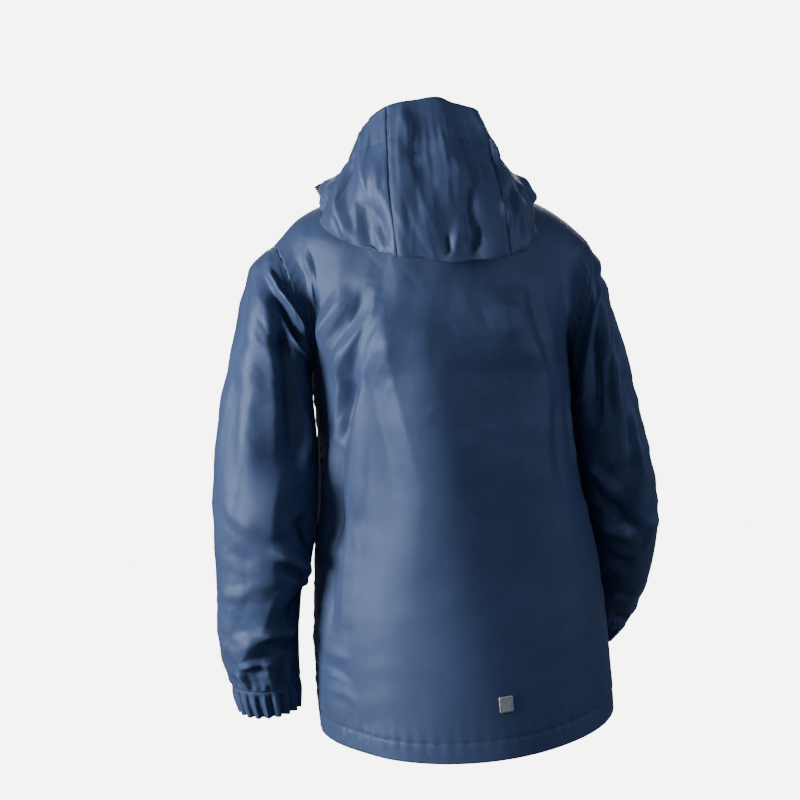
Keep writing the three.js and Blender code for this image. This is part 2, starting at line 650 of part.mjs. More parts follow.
// One side's zip tape: up the front edge and on along the hood's front end
function zipTape(mirror) {
  const front = bodySurface(-1, mirror);
  const side = mirror ? -1 : 1;
  const outer = [];
  const inner = [];
  const addRow = (surface, us, normalU, v, outward) => {
    const normal = facing(surface, normalU, v, outward);
    for (const u of us) {
      const at = surface(u, v);
      outer.push(posed(at));
      inner.push(posed(at.clone().addScaledVector(normal, -tapeWall)));
    }
  };
  const closedGap = seamGap / 2 / 215;
  const end = 2 - zipBox.top / (underarmZ - hemZ);
  for (const v of [end, ...bodyPlaces().reverse().slice(1)]) {
    addRow(front, [closedGap, tapeShare], tapeShare / 2, v, -side);
  }
  const hoodTape = [side, side * (1 - hoodTapeShare + 0.011)];
  for (const along of [0.01, ...steps(hoodRows).slice(1)]) {
    addRow(hoodForm, hoodTape, side * (1 - hoodTapeShare), along, -1);
  }
  return wallGeometry(outer, inner, 2, outer.length / 2, false);
}

// A small plain rectangle that lies on the back panel
function reflectiveTab() {
  const halfTurn = tab.width / 2 / bodyFoldRadius;
  const middle = tab.angle * degrees;
  const onBack = (angle, z) => bodyRing(z, angle);
  const lift = (angle, z) => bodyFoldHeight(angle, z);
  const angles = steps(4, middle - halfTurn, middle + halfTurn);
  const heights = steps(4, tab.z + tab.height / 2, tab.z - tab.height / 2);
  const options = { wall: tab.wall, standOff: tab.standOff + tab.wall };
  return clothPiece(onBack, lift, angles, heights, -1, options);
}

// A group that stands against the centre front at a height, its Z pointing away from the wearer
function onZipLine(v) {
  const middle = bodyForm(-1, 0, v);
  const above = bodyForm(-1, 0, v - 0.01);
  const lean = Math.atan2(middle.y - above.y, above.z - middle.z);
  const group = new THREE.Group();
  group.position.set(0, middle.y, middle.z);
  group.rotation.x = Math.PI / 2 + lean;
  return group;
}

function extruded(shape, depth, from = 0) {
  const geometry = new THREE.ExtrudeGeometry(shape, { depth, bevelEnabled: false, curveSegments: 6 });
  return geometry.translate(0, 0, from);
}

// A slider plate seen from the front, wider at its shoulders than at its tail
function plateShape() {
  const half = slider.width / 2;
  const wide = slider.flareWidth / 2;
  const top = slider.length / 2;
  const round = slider.cornerRadius;
  const outline = new THREE.Shape();
  outline.moveTo(-half + 1, -top);
  outline.lineTo(half - 1, -top);
  outline.quadraticCurveTo(half, -top, half, -top + 1);
  outline.lineTo(wide, top - round);
  outline.quadraticCurveTo(wide, top, wide - round, top);
  outline.lineTo(-wide + round, top);
  outline.quadraticCurveTo(-wide, top, -wide, top - round);
  outline.lineTo(-half, -top + 1);
  outline.quadraticCurveTo(-half, -top, -half + 1, -top);
  return outline;
}

// The wedge that parts the two tapes, between the plates
function wedgeShape() {
  const top = slider.length / 2;
  const outline = new THREE.Shape();
  outline.moveTo(0, top - slider.wedgeLength);
  outline.lineTo(slider.wedgeWidth / 2, top - 0.6);
  outline.lineTo(-slider.wedgeWidth / 2, top - 0.6);
  outline.closePath();
  return outline;
}

// The arch that holds the pull, seen from the side
function archShape() {
  const half = arch.length / 2;
  const inside = half - arch.bar;
  const under = arch.height - arch.bar;
  const outline = new THREE.Shape();
  outline.moveTo(-half, -0.4);
  outline.lineTo(-half, arch.height - 2);
  outline.quadraticCurveTo(-half, arch.height, -half + 2, arch.height);
  outline.lineTo(half - 2, arch.height);
  outline.quadraticCurveTo(half, arch.height, half, arch.height - 2);
  outline.lineTo(half, -0.4);
  outline.lineTo(inside, -0.4);
  outline.lineTo(inside, under - 1);
  outline.quadraticCurveTo(inside, under, inside - 1, under);
  outline.lineTo(-inside + 1, under);
  outline.quadraticCurveTo(-inside, under, -inside, under - 1);
  outline.lineTo(-inside, -0.4);
  outline.closePath();
  return outline;
}

function manifoldOf(geometry) {
  const position = geometry.getAttribute("position");
  const triVerts = Uint32Array.from({ length: position.count }, (_, k) => k);
  const mesh = new manifold.Mesh({ numProp: 3, vertProperties: position.array, triVerts });
  mesh.merge();
  return new manifold.Manifold(mesh);
}

function geometryOf(solid) {
  const { vertProperties, triVerts } = solid.getMesh();
  const geometry = new THREE.BufferGeometry();
  geometry.setAttribute("position", new THREE.BufferAttribute(vertProperties, 3));
  geometry.setIndex(new THREE.BufferAttribute(triVerts, 1));
  geometry.computeVertexNormals();
  return geometry;
}

// Two plates before and behind the tapes, joined by the wedge, with the arch on the front plate
function sliderGeometry() {
  const backFace = -tapeWall - slider.behind;
  const frontPlate = extruded(plateShape(), slider.plate, slider.before);
  const backPlate = extruded(plateShape(), slider.plate, backFace - slider.plate);
  const wedge = extruded(wedgeShape(), slider.before - backFace + 1, backFace - 0.5);
  const archBody = extruded(archShape(), arch.width, -arch.width / 2);
  archBody.rotateX(Math.PI / 2);
  archBody.rotateZ(Math.PI / 2);
  archBody.translate(0, 0, slider.before + slider.plate);
  const parts = [frontPlate, backPlate, wedge, archBody].map(manifoldOf);
  return geometryOf(manifold.Manifold.union(parts));
}

// The pull: a flat tongue with the window that the arch passes through, its crossbar at the origin
function pullGeometry() {
  const half = pull.width / 2;
  const top = pull.crossbar / 2;
  const end = top - pull.length;
  const tongue = new THREE.Shape();
  tongue.moveTo(half, top);
  tongue.lineTo(-half, top);
  tongue.lineTo(-half, end + half);
  tongue.absarc(0, end + half, half, Math.PI, 2 * Math.PI, false);
  tongue.closePath();
  const window = new THREE.Path();
  window.moveTo(-pull.windowWidth / 2, -top);
  window.lineTo(pull.windowWidth / 2, -top);
  window.lineTo(pull.windowWidth / 2, -top - pull.windowLength);
  window.lineTo(-pull.windowWidth / 2, -top - pull.windowLength);
  window.closePath();
  tongue.holes.push(window);
  return extruded(tongue, pull.wall, -pull.wall / 2);
}

const manifold = await Module();
manifold.setup();

const garment = new THREE.Group();

function add(name, geometry, finish, parent = garment) {
  const mesh = new THREE.Mesh(geometry, new THREE.MeshStandardMaterial(finish));
  mesh.name = name;
  parent.add(mesh);
  return mesh;
}

add("back", backPanel(), cloth);
add("front_left", frontPanel(false), cloth);
add("front_right", frontPanel(true), cloth);
add("sleeve_left", sleeve(leftSleeve, leftSleeveFolds, false), cloth);
add("sleeve_right", sleeve(rightSleeve, rightSleeveFolds, true), cloth);
add("cuff_left", cuff(leftSleeve, leftCuffEnd, false), cloth);
add("cuff_right", cuff(rightSleeve, rightCuffEnd, true), cloth);

const seam = hoodSeamShare - hoodGapShare;
const sidePlaces = hoodSidePlaces();
add("hood_centre", hoodPiece(steps(gussetColumns, -seam, seam), gussetRows), cloth);
add("hood_left", hoodPiece(sidePlaces, hoodRows), cloth);
add("hood_right", hoodPiece(sidePlaces.map((share) => -share).reverse(), hoodRows), cloth);

add("zip_tape_left", zipTape(false), zipTapeCloth);
add("zip_tape_right", zipTape(true), zipTapeCloth);
add("reflective_tab", reflectiveTab(), reflective);

const zipStop = onZipLine(2 - (zipBox.up + zipBox.height / 2) / (underarmZ - hemZ));
garment.add(zipStop);
add("zip_box", new THREE.BoxGeometry(zipBox.width, zipBox.height, zipBox.depth), zipPlastic, zipStop);

const zipHead = onZipLine(slider.v);
garment.add(zipHead);
add("zip_slider", sliderGeometry(), zipPlastic, zipHead);
const zipPull = add("zip_pull", pullGeometry(), zipPlastic, zipHead);
zipPull.position.set(0, -pullAxis.down, slider.before + slider.plate + pullAxis.out);

export default garment;
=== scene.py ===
import bpy
import numpy as np
from mathutils import Matrix


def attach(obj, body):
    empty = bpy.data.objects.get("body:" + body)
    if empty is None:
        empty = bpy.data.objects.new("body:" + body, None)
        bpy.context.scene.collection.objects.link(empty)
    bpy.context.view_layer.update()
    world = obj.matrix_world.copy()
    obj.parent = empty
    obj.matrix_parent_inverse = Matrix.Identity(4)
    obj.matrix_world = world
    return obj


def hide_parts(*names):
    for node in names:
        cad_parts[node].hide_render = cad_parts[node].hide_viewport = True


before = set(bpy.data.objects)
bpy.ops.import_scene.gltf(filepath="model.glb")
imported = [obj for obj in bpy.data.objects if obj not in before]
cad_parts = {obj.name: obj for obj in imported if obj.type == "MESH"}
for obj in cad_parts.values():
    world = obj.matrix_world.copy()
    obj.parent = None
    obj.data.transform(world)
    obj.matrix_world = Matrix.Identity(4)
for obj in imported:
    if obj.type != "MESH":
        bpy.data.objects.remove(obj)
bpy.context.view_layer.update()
print("frame loaded")

studioLook = dict(
    azimuth=172, elevation=8, roll=4.4, distance=3.0, focalLength=126.9,
    aimRight=-0.0468, aimUp=-0.2204,  # where the picture's middle lies, along the picture's own right and up
    keyWatts=124, keySize=0.8, fillWatts=9, sideWatts=26, topWatts=2, frontWatts=32, worldStrength=0.11,
    floorZ=-1.5, floorColour="#f4f4f3",
)


def linearColour(hexColour):
    # an sRGB hex colour as linear red, green, blue and 1
    parts = np.array([int(hexColour[k:k + 2], 16) for k in (1, 3, 5)]) / 255
    linear = np.where(parts <= 0.04045, parts / 12.92, ((parts + 0.055) / 1.055) ** 2.4)
    return (*linear.tolist(), 1.0)


def placeLike(obj, position, right, up, back):
    # the object's own x, y and z lie along right, up and back
    placed = np.eye(4)
    placed[:3] = np.stack([right, up, back, position], 1)
    obj.matrix_world = Matrix(placed.tolist())


def studioAxes(azimuth, elevation):
    a, e = np.radians(azimuth), np.radians(elevation)
    away = np.array([np.sin(a) * np.cos(e), -np.cos(a) * np.cos(e), np.sin(e)])
    right = np.cross(-away, [0, 0, 1])
    right /= np.linalg.norm(right)
    return right, np.cross(right, -away), away


def makeCamera(look):
    right, up, away = studioAxes(look["azimuth"], look["elevation"])
    target = right * look["aimRight"] + up * look["aimUp"]
    roll = np.radians(look["roll"])
    rolledRight = np.cos(roll) * right - np.sin(roll) * up
    rolledUp = np.sin(roll) * right + np.cos(roll) * up
    camera = bpy.data.objects.new("camera", bpy.data.cameras.new("camera"))
    camera.data.lens = look["focalLength"]
    camera.data.sensor_width = 36
    camera.data.clip_end = 60
    bpy.context.scene.collection.objects.link(camera)
    placeLike(camera, target + away * look["distance"], rolledRight, rolledUp, away)
    bpy.context.scene.camera = camera
    return target


def addLight(name, azimuth, elevation, distance, size, watts, target, colour):
    right, up, away = studioAxes(azimuth, elevation)
    lamp = bpy.data.lights.new(name, "AREA")
    lamp.shape = "DISK"
    lamp.size = size
    lamp.energy = watts
    lamp.color = linearColour(colour)[:3]
    made = bpy.data.objects.new(name, lamp)
    bpy.context.scene.collection.objects.link(made)
    placeLike(made, target + away * distance, right, up, away)


middle = makeCamera(studioLook)
addLight("key_light", 106, 12, 2.4, studioLook["keySize"], studioLook["keyWatts"], middle, "#fffdf8")
addLight("fill_light", 158, 10, 3.2, 2.0, studioLook["fillWatts"], middle, "#e9f0ff")
addLight("side_light", 246, 14, 3.0, 1.8, studioLook["sideWatts"], middle, "#e4ecff")
addLight("top_light", 150, 78, 2.2, 1.6, studioLook["topWatts"], middle, "#ffffff")
addLight("front_light", 345, 22, 3.0, 2.0, studioLook["frontWatts"], middle, "#ffffff")


def addNode(tree, kind, settings=None, **links):
    # adds one shader node; a socket given as a link is joined, and any other value is set on the input
    made = tree.nodes.new("ShaderNode" + kind)
    for key, value in (settings or {}).items():
        setattr(made, key, value)
    for key, value in links.items():
        name = key.replace("_", " ")
        socket = made.inputs[int(name[1:])] if name[0] == "n" and name[1:].isdigit() else made.inputs[name]
        if isinstance(value, bpy.types.NodeSocket):
            tree.links.new(value, socket)
        else:
            socket.default_value = value
    return made


def newMaterial(name):
    made = bpy.data.materials.new(name)
    made.use_nodes = True
    made.node_tree.nodes.clear()
    return made, made.node_tree


def closeMaterial(tree, shader):
    out = addNode(tree, "OutputMaterial")
    tree.links.new(shader.outputs[0], out.inputs["Surface"])


def paleSweep(look):
    # plain pale paper: an even light grey, with its own light so that no shadow stands on it
    made, tree = newMaterial("pale_paper")
    colour = linearColour(look["floorColour"])
    closeMaterial(tree, addNode(tree, "BsdfPrincipled", Base_Color=colour, Roughness=0.9, Specular_IOR_Level=0.1,
                                Emission_Color=colour, Emission_Strength=7))
    return made


def meshFrom(name, vertices, faces, materials, smoothFaces=True, uv=None, marks=None, kinds=None):
    # vertices are an array of places in metres, and faces a list of arrays with one width each
    mesh = bpy.data.meshes.new(name)
    loops = np.concatenate([f.reshape(-1) for f in faces]).astype(np.int32)
    sizes = np.concatenate([np.full(len(f), f.shape[1]) for f in faces])
    mesh.vertices.add(len(vertices))
    mesh.vertices.foreach_set("co", np.asarray(vertices, np.float32).reshape(-1))
    mesh.loops.add(len(loops))
    mesh.loops.foreach_set("vertex_index", loops)
    mesh.polygons.add(len(sizes))
    mesh.polygons.foreach_set("loop_start", (np.cumsum(sizes) - sizes).astype(np.int32))
    mesh.polygons.foreach_set("use_smooth", np.full(len(sizes), smoothFaces))
    for material in materials:
        mesh.materials.append(material)
    if kinds is not None:
        mesh.polygons.foreach_set("material_index", kinds.astype(np.int32))
    if uv is not None:
        layer = mesh.uv_layers.new(name="cut")
        layer.data.foreach_set("uv", uv[loops].astype(np.float32).reshape(-1))
    for key, value in (marks or {}).items():
        mesh.attributes.new(key, "FLOAT", "POINT").data.foreach_set("value", value.astype(np.float32))
    mesh.update(calc_edges=True)
    mesh.validate()
    made = bpy.data.objects.new(name, mesh)
    bpy.context.scene.collection.objects.link(made)
    return made


def gridFaces(rows, columns, wrapped=False):
    # four-sided faces of a grid whose points run row by row
    last = columns if wrapped else columns - 1
    row, column = np.meshgrid(np.arange(rows - 1), np.arange(last), indexing="ij")
    after = (column + 1) % columns
    a, b = row * columns + column, row * columns + after
    return np.stack([a, b, b + columns, a + columns], -1).reshape(-1, 4)


def sweepFloor(look):
    # a round floor whose rim curves up into a wall: radius and height follow one profile, turned about z
    t = np.linspace(0, 1, 60)
    bend = np.clip((t - 0.45) / 0.3, 0, 1) * np.pi / 2
    radius = np.minimum(t / 0.45, 1) * 6 + 2 * np.sin(bend)
    height = 2 * (1 - np.cos(bend)) + np.maximum(t - 0.75, 0) / 0.25 * 3
    turn = np.linspace(0, 2 * np.pi, 96, endpoint=False)
    points = np.stack([radius[:, None] * np.cos(turn), radius[:, None] * np.sin(turn),
                       look["floorZ"] + height[:, None] + 0 * turn], -1).reshape(-1, 3)
    made = meshFrom("studio_floor", points, [gridFaces(60, 96, True)], [paleSweep(look)])
    made.visible_diffuse = False  # the garment is lit by the lamps alone
    made.visible_glossy = False


sweepFloor(studioLook)
world = bpy.data.worlds.new("studio")
world.use_nodes = True
world.node_tree.nodes["Background"].inputs[0].default_value = linearColour("#dfe6f2")
world.node_tree.nodes["Background"].inputs[1].default_value = studioLook["worldStrength"]
bpy.context.scene.world = world
print("camera, lights and floor placed")

bodyCut = dict(
    neckHalfWidth=70, napeY=58, seamY=-5, neckSideZ=-6, neckFrontX=44, neckFrontY=-84, neckFrontZ=-42,
    shoulderX=168, shoulderZ=-57, shoulderRound=2.1, shoulderSlope=0.1, frontSlope=0.95,
    underarmX=136, underarmZ=-182, armholeHalfDepth=52, squareness=2.35, hemZ=-573, tailDrop=19,
    backNeckShare=5 / 12, frontNeckShare=0.5, tapeShare=0.034,
    z=[-182, -225, -270, -330, -370, -410, -460, -520, -600],
    halfWidth=[136, 135.5, 136, 141, 149, 154, 158, 160, 160],
    back=[121, 125, 128, 127, 126, 126, 128, 130, 132],
    front=[112, 117, 120, 121, 121, 121, 122, 123, 124],
)


def mix(a, b, share):
    return a + (b - a) * share


def smooth(x):
    x = np.clip(x, 0, 1)
    return x * x * (3 - 2 * x)


def stack(x, y, z):
    return np.stack(np.broadcast_arrays(x, y, z), -1).astype(float)


def unit(v):
    return v / np.linalg.norm(v, axis=-1, keepdims=True)


def throughTable(xs, ys, x):
    # cubic between a table's rows; the slope at a row is that of the line through its two neighbours
    xs, ys = np.array(xs, float), np.array(ys, float)
    if xs[0] > xs[-1]:
        xs, ys = xs[::-1], ys[::-1]
    slope = np.empty_like(ys)
    slope[1:-1] = (ys[2:] - ys[:-2]) / (xs[2:] - xs[:-2])
    slope[0], slope[-1] = (ys[1] - ys[0]) / (xs[1] - xs[0]), (ys[-1] - ys[-2]) / (xs[-1] - xs[-2])
    k = np.clip(np.searchsorted(xs, x, side="right"), 1, len(xs) - 1)
    step = xs[k] - xs[k - 1]
    f = (x - xs[k - 1]) / step
    g = 1 - f
    return (ys[k - 1] * g * g * (1 + 2 * f) + ys[k] * f * f * (1 + 2 * g)
            + step * (slope[k - 1] * f * g * g - slope[k] * f * f * g))


def throughRows(rows, place):
    # one smooth curve through rows at even steps of place, from 0 to 1; a row may be a whole grid of points
    rows = np.asarray(rows, float)
    rows = np.concatenate([[2 * rows[0] - rows[1]], rows, [2 * rows[-1] - rows[-2]]])
    at = np.clip(place, 0, 1) * (len(rows) - 3)
    k = np.minimum(np.floor(at).astype(int), len(rows) - 4)
    f = (at - k)[..., None]
    pick = (lambda n: np.take_along_axis(rows, n[None, ..., None], 0)[0]) if rows.ndim > 2 else (lambda n: rows[n])
    a, b, c, d = pick(k), pick(k + 1), pick(k + 2), pick(k + 3)
    return b + 0.5 * f * (c - a + f * (2 * a - 5 * b + 4 * c - d + f * (3 * b - a - 3 * c + d)))


def backNeck(angle):
    # a quarter of an oval from the nape, angle 0, to the neck's side
    c, cosine = bodyCut, np.cos(angle)
    return stack(c["neckHalfWidth"] * np.sin(angle), mix(c["seamY"], c["napeY"], cosine), c["neckSideZ"] * (1 - cosine))


def frontNeck(share):
    # a quarter of an oval from the zip, share 0, up to the neck's side
    c, cosine = bodyCut, np.maximum(np.cos(share * np.pi / 2), 0)
    return stack(mix(c["neckFrontX"], c["neckHalfWidth"], np.sin(share * np.pi / 2)),
                 mix(c["seamY"], c["neckFrontY"], cosine), mix(c["neckSideZ"], c["neckFrontZ"], cosine ** 1.5))


def shoulderSeam(share):
    # from the neck's side out to the shoulder point, dropping by a power of share
    c = bodyCut
    return stack(mix(c["neckHalfWidth"], c["shoulderX"], share), c["seamY"],
                 c["neckSideZ"] + (c["shoulderZ"] - c["neckSideZ"]) * share ** c["shoulderRound"])


def armhole(turn, side):
    # half an oval from the shoulder point, turn 0, to the underarm, turn pi; side is 1 behind and -1 in front
    c, down = bodyCut, (1 - np.cos(turn)) / 2
    return stack(mix(c["shoulderX"], c["underarmX"], down), c["seamY"] + side * c["armholeHalfDepth"] * np.sin(turn),
                 mix(c["shoulderZ"], c["underarmZ"], down))


def bodyRing(z, angle):
    # a rounded oblong, |x / halfWidth|^n + |y / depth|^n = 1, with one depth behind and one in front
    c, sine, cosine = bodyCut, np.sin(angle), np.cos(angle)
    reach = (np.abs(sine) ** c["squareness"] + np.abs(cosine) ** c["squareness"]) ** (-1 / c["squareness"])
    depth = np.where(cosine > 0, throughTable(c["z"], c["back"], z), throughTable(c["z"], c["front"], z))
    return stack(throughTable(c["z"], c["halfWidth"], z) * reach * sine, c["seamY"] + depth * reach * cosine, z)


def bodyForm(side, u, v):
    # v from 0 to 1 rolls a quarter turn from the neck and shoulder seam to the underarm, drawn to the armhole
    # by the fourth power of u; v from 1 to 2 follows rings down to the hem
    c = bodyCut
    u, v = np.broadcast_arrays(np.asarray(u, float), np.asarray(v, float))
    across = np.abs(u)
    angle = u * np.pi / 2 if side > 0 else np.pi - u * np.pi / 2
    drop = c["tailDrop"] * np.maximum(0, np.cos(angle)) ** 1.5
    low = bodyRing(mix(c["underarmZ"], c["hemZ"] - drop, np.maximum(v, 1) - 1), angle)
    neckShare = c["backNeckShare"] if side > 0 else c["frontNeckShare"]
    onNeck = np.minimum(across / neckShare, 1)
    neck = backNeck(onNeck * np.pi / 2) if side > 0 else frontNeck(onNeck)
    shoulder = shoulderSeam(np.clip((across - neckShare) / (1 - neckShare), 0, 1))
    top = np.where((across < neckShare)[..., None], neck, shoulder)
    if side > 0:  # the corner between neck and shoulder is rounded off below the neck seam, as a quadratic curve
        reach = 0.16
        t = np.clip((across - neckShare + reach) / (2 * reach), 0, 1)[..., None]
        ends = [backNeck(np.array((1 - reach / neckShare) * np.pi / 2)), shoulderSeam(np.array(0.0)),
                shoulderSeam(np.array(reach / (1 - neckShare)))]
        rounded = (1 - t) ** 2 * ends[0] + 2 * t * (1 - t) * ends[1] + t * t * ends[2]
        top = np.where((t > 0) & (t < 1), mix(top, rounded, smooth(np.clip(v, 0, 1) * 9)[..., None]), top)
    chest = bodyRing(np.full(u.shape, float(c["underarmZ"])), across * np.pi / 2 if side > 0 else angle)
    w = np.clip(v, 0, 1)
    inFront = 0 * across if side > 0 else np.sqrt(np.clip(1 - across / neckShare, 0, 1))
    slope = mix(c["shoulderSlope"], c["frontSlope"], inFront)

    def roll(a, b):
        return stack(mix(a[..., 0], b[..., 0], w),
                     mix(a[..., 1], b[..., 1], mix(np.sin(w * np.pi / 2), w, slope / 2)),
                     mix(a[..., 2], b[..., 2], mix(1 - np.cos(w * np.pi / 2), w, slope)))

    ones = np.ones(u.shape)
    edge = roll(shoulderSeam(ones), bodyRing(c["underarmZ"] * ones, ones * np.pi / 2))
    high = roll(top, chest) + (armhole(w * np.pi, side) - edge) * (across ** 4)[..., None]
    if side > 0:
        high[..., 0] *= np.where(u < 0, -1, 1)
    return np.where((v >= 1)[..., None], low, high)


def posed(point):
    # the shoulders' tilt: z rises by 0.07 of x, and the tilt fades out down the body
    out = point.copy()
    out[..., 2] += 0.07 * smooth((point[..., 2] + 420) / 320) * point[..., 0]
    return out


# rows from the armhole to the wrist: outer x and z, inner x and z, y, half depth and tilt in degrees
leftSleeve = [
    (168, -57, 136, -182, -5, 52, 0), (190, -73, 140.5, -196, -2, 53, 0), (207, -112, 141, -215, 1, 53, 0),
    (223, -162, 140.5, -240, 4, 52, 0), (240, -217, 140.5, -270, 7, 51, 0), (252, -277, 143.5, -303, 9, 51, 0),
    (259, -332, 147.5, -340, 8, 51, -1), (260, -380, 156, -380, 3, 49, -3), (261, -420, 167, -412, -4, 46, -6),
    (263, -458, 174, -450, -11, 43, -9), (260, -490, 176, -485, -17, 40, -10), (252, -516, 177, -514, -22, 36, -10),
]
rightSleeve = [
    (168, -57, 136, -182, -5, 52, 0), (179, -80, 139.5, -196, -4, 52, 0), (188, -120, 140.5, -215, -5, 52, 0),
    (202, -172, 140, -241, -6, 51, 0), (212, -228, 140, -271, -7, 50, 0), (220, -285, 143, -306, -9, 50, -2),
    (230, -341, 147.5, -346, -16, 49, -7), (232, -385, 153, -380, -31, 47, -15), (229, -427, 155, -414, -52, 44, -23),
    (221, -466, 154, -448, -74, 40, -28), (208, -498, 150, -482, -94, 35, -30),
]
leftCuffEnd = (245, -549, 178, -546, -26, 30, -10)
rightCuffEnd = (190, -524, 145, -510, -110, 29, -30)


def tubeForm(rows, turn, place, mirror):
    # rings through an outer point, turn 0, and an inner one, with a half depth towards turn 90 that may tilt
    outerX, outerZ, innerX, innerZ, y, halfDepth, tilt = np.moveaxis(throughRows(rows, place), -1, 0)
    outward, depth = (1 + np.cos(turn)) / 2, halfDepth * np.sin(turn)
    x = mix(innerX, outerX, outward)
    return stack(-x if mirror else x, y + depth * np.cos(np.radians(tilt)),
                 mix(innerZ, outerZ, outward) + depth * np.sin(np.radians(tilt)))


def cuffRows(rows, end):
    start, end = np.array(rows[-1], float), np.array(end, float)
    half = mix(start, end, 0.5) + [1.5, 0, -1.5, 0, 0, 0.5, 0]
    half[6] = end[6]
    return [rows[-2], start, half, end]


# columns round the neck: share, stand, the bag's lowest fold x, y, z and the opening's edge x, y, z
hoodLeftRows = [
    (0, 13, 0, 148, -64, 0, 88, 101), (0.22, 13, 58, 140, -59, 50, 83, 92), (0.42, 13, 106, 100, -46, 74, 60, 68),
    (0.6, 12, 125, 52, -27, 78, 24, 42), (0.8, 10, 107, -20, 0, 86, -30, 18), (1, 7, 98, -80, -28, 113, -64, 2),
]
hoodRightRows = [
    (0, 13, 0, 148, -64, 0, 88, 101), (0.22, 13, 58, 140, -60, 46, 83, 84), (0.42, 13, 95, 98, -41, 58, 60, 54),
    (0.6, 12, 98, 48, -13, 74, 24, 32), (0.8, 10, 94, -20, 0, 78, -30, 16), (1, 7, 86, -82, -28, 96, -68, -2),
]


def hoodForm(share, along):
    # a curve from the neck seam up a short stand, out under the bag, round its lowest fold and up to the edge
    share, along = np.broadcast_arrays(np.asarray(share, float), np.asarray(along, float))
    side = np.abs(share)
    left, right = np.array(hoodLeftRows, float), np.array(hoodRightRows, float)

    def column(n):
        value = np.where(share < 0, throughTable(right[:, 0], right[:, n], side),
                         throughTable(left[:, 0], left[:, n], side))
        return mix(left[0, n], value, smooth(side / 0.08) if n in (3, 4, 6, 7) else 1)

    neck = np.where((side < 0.5)[..., None], backNeck(side * np.pi), frontNeck(np.clip(2 - 2 * side, -0.1, 1)))
    neck = neck + [0, 0, 0.9]
    fold, edge = stack(column(2), column(3), column(4)), stack(column(5), column(6), column(7))
    stand = neck + unit((fold - neck) * [1, 1, 0]) * (column(1) * 0.8)[..., None]
    stand[..., 2] += column(1)
    bag = (1 - smooth((side - 0.7) / 0.3))[..., None]
    under = mix(neck, fold, 0.55) + bag * [0, 0, 14]
    outer = mix(fold, edge, 0.45)
    outer = outer + unit((outer + [0, 20, 0]) * [1, 1, 0]) * bag * 9
    point = throughRows(np.stack([neck, stand, under, fold, outer, edge]), along)
    point[..., 0] *= np.where(share < 0, -1, 1)
    return point


def softFolds(x, y, folds):
    # broad folds along straight lines: height times exp(-(across / width)^2), dying out at both ends
    total = np.zeros(np.broadcast(x, y).shape)
    for x0, y0, x1, y1, width, height in folds:
        length = np.hypot(x1 - x0, y1 - y0)
        dx, dy = (x1 - x0) / length, (y1 - y0) / length
        along, across = (x - x0) * dx + (y - y0) * dy, (y - y0) * dx - (x - x0) * dy
        fade = min(45, length / 2)
        total += height * smooth(along / fade) * smooth((length - along) / fade) * np.exp(-((across / width) ** 2))
    return total


def creaseLift(x, y, creases, sharp=0.7, spread=2.8):
    # tent-like creases along bent lines x0, y0, x1, y1, x2, y2 (the middle pair is the control point): height times
    # 1 - d / (spread * width) down to 0, so both slopes are flat, one width on each side, dying out at both ends
    x, y = np.broadcast_arrays(np.asarray(x, float), np.asarray(y, float))
    total = np.zeros(x.shape)
    t = np.linspace(0, 1, 9)
    for x0, y0, x1, y1, x2, y2, height, widthA, widthB in creases:
        cx = (1 - t) ** 2 * x0 + 2 * t * (1 - t) * x1 + t * t * x2
        cy = (1 - t) ** 2 * y0 + 2 * t * (1 - t) * y1 + t * t * y2
        near, along, side = np.full(x.shape, 1e9), np.zeros(x.shape), np.zeros(x.shape)
        for k in range(len(t) - 1):
            dx, dy = cx[k + 1] - cx[k], cy[k + 1] - cy[k]
            s = np.clip(((x - cx[k]) * dx + (y - cy[k]) * dy) / (dx * dx + dy * dy + 1e-9), 0, 1)
            ex, ey = x - cx[k] - s * dx, y - cy[k] - s * dy
            far = ex * ex + ey * ey
            closer = far < near
            near = np.where(closer, far, near)
            along = np.where(closer, (k + s) / (len(t) - 1), along)
            side = np.where(closer, dx * ey - dy * ex, side)
        width = np.where(side > 0, widthA, widthB)
        fall = np.clip(1 - (np.sqrt(near + sharp * sharp) - sharp) / (spread * width), 0, 1)
        total += 0.8 * height * smooth(along / 0.35) * smooth((1 - along) / 0.35) * fall
    return total


def crinkles(x, y, count, seed, box, height, turn=None):
    # many short faint creases with seeded places; turn leans them towards one direction, in degrees
    rng = np.random.default_rng(seed)
    total = np.zeros(np.broadcast(x, y).shape)
    for _ in range(count):
        cx, cy = rng.uniform(box[0], box[1]), rng.uniform(box[2], box[3])
        angle = rng.uniform(0, np.pi) if turn is None else np.radians(turn) + rng.normal(0, 0.45)
        half, width = rng.uniform(9, 36), rng.uniform(1.8, 5.5)
        rise = height * rng.uniform(0.35, 1) * (1 if rng.random() < 0.55 else -1)
        along = (x - cx) * np.cos(angle) + (y - cy) * np.sin(angle)
        across = (y - cy) * np.cos(angle) - (x - cx) * np.sin(angle)
        across = across + rng.uniform(-0.006, 0.006) * along * along
        fall = np.exp(-(np.sqrt(across * across + 0.3) - 0.55) / width)
        total += rise * smooth(1 - np.abs(along) / half) * fall
    return total


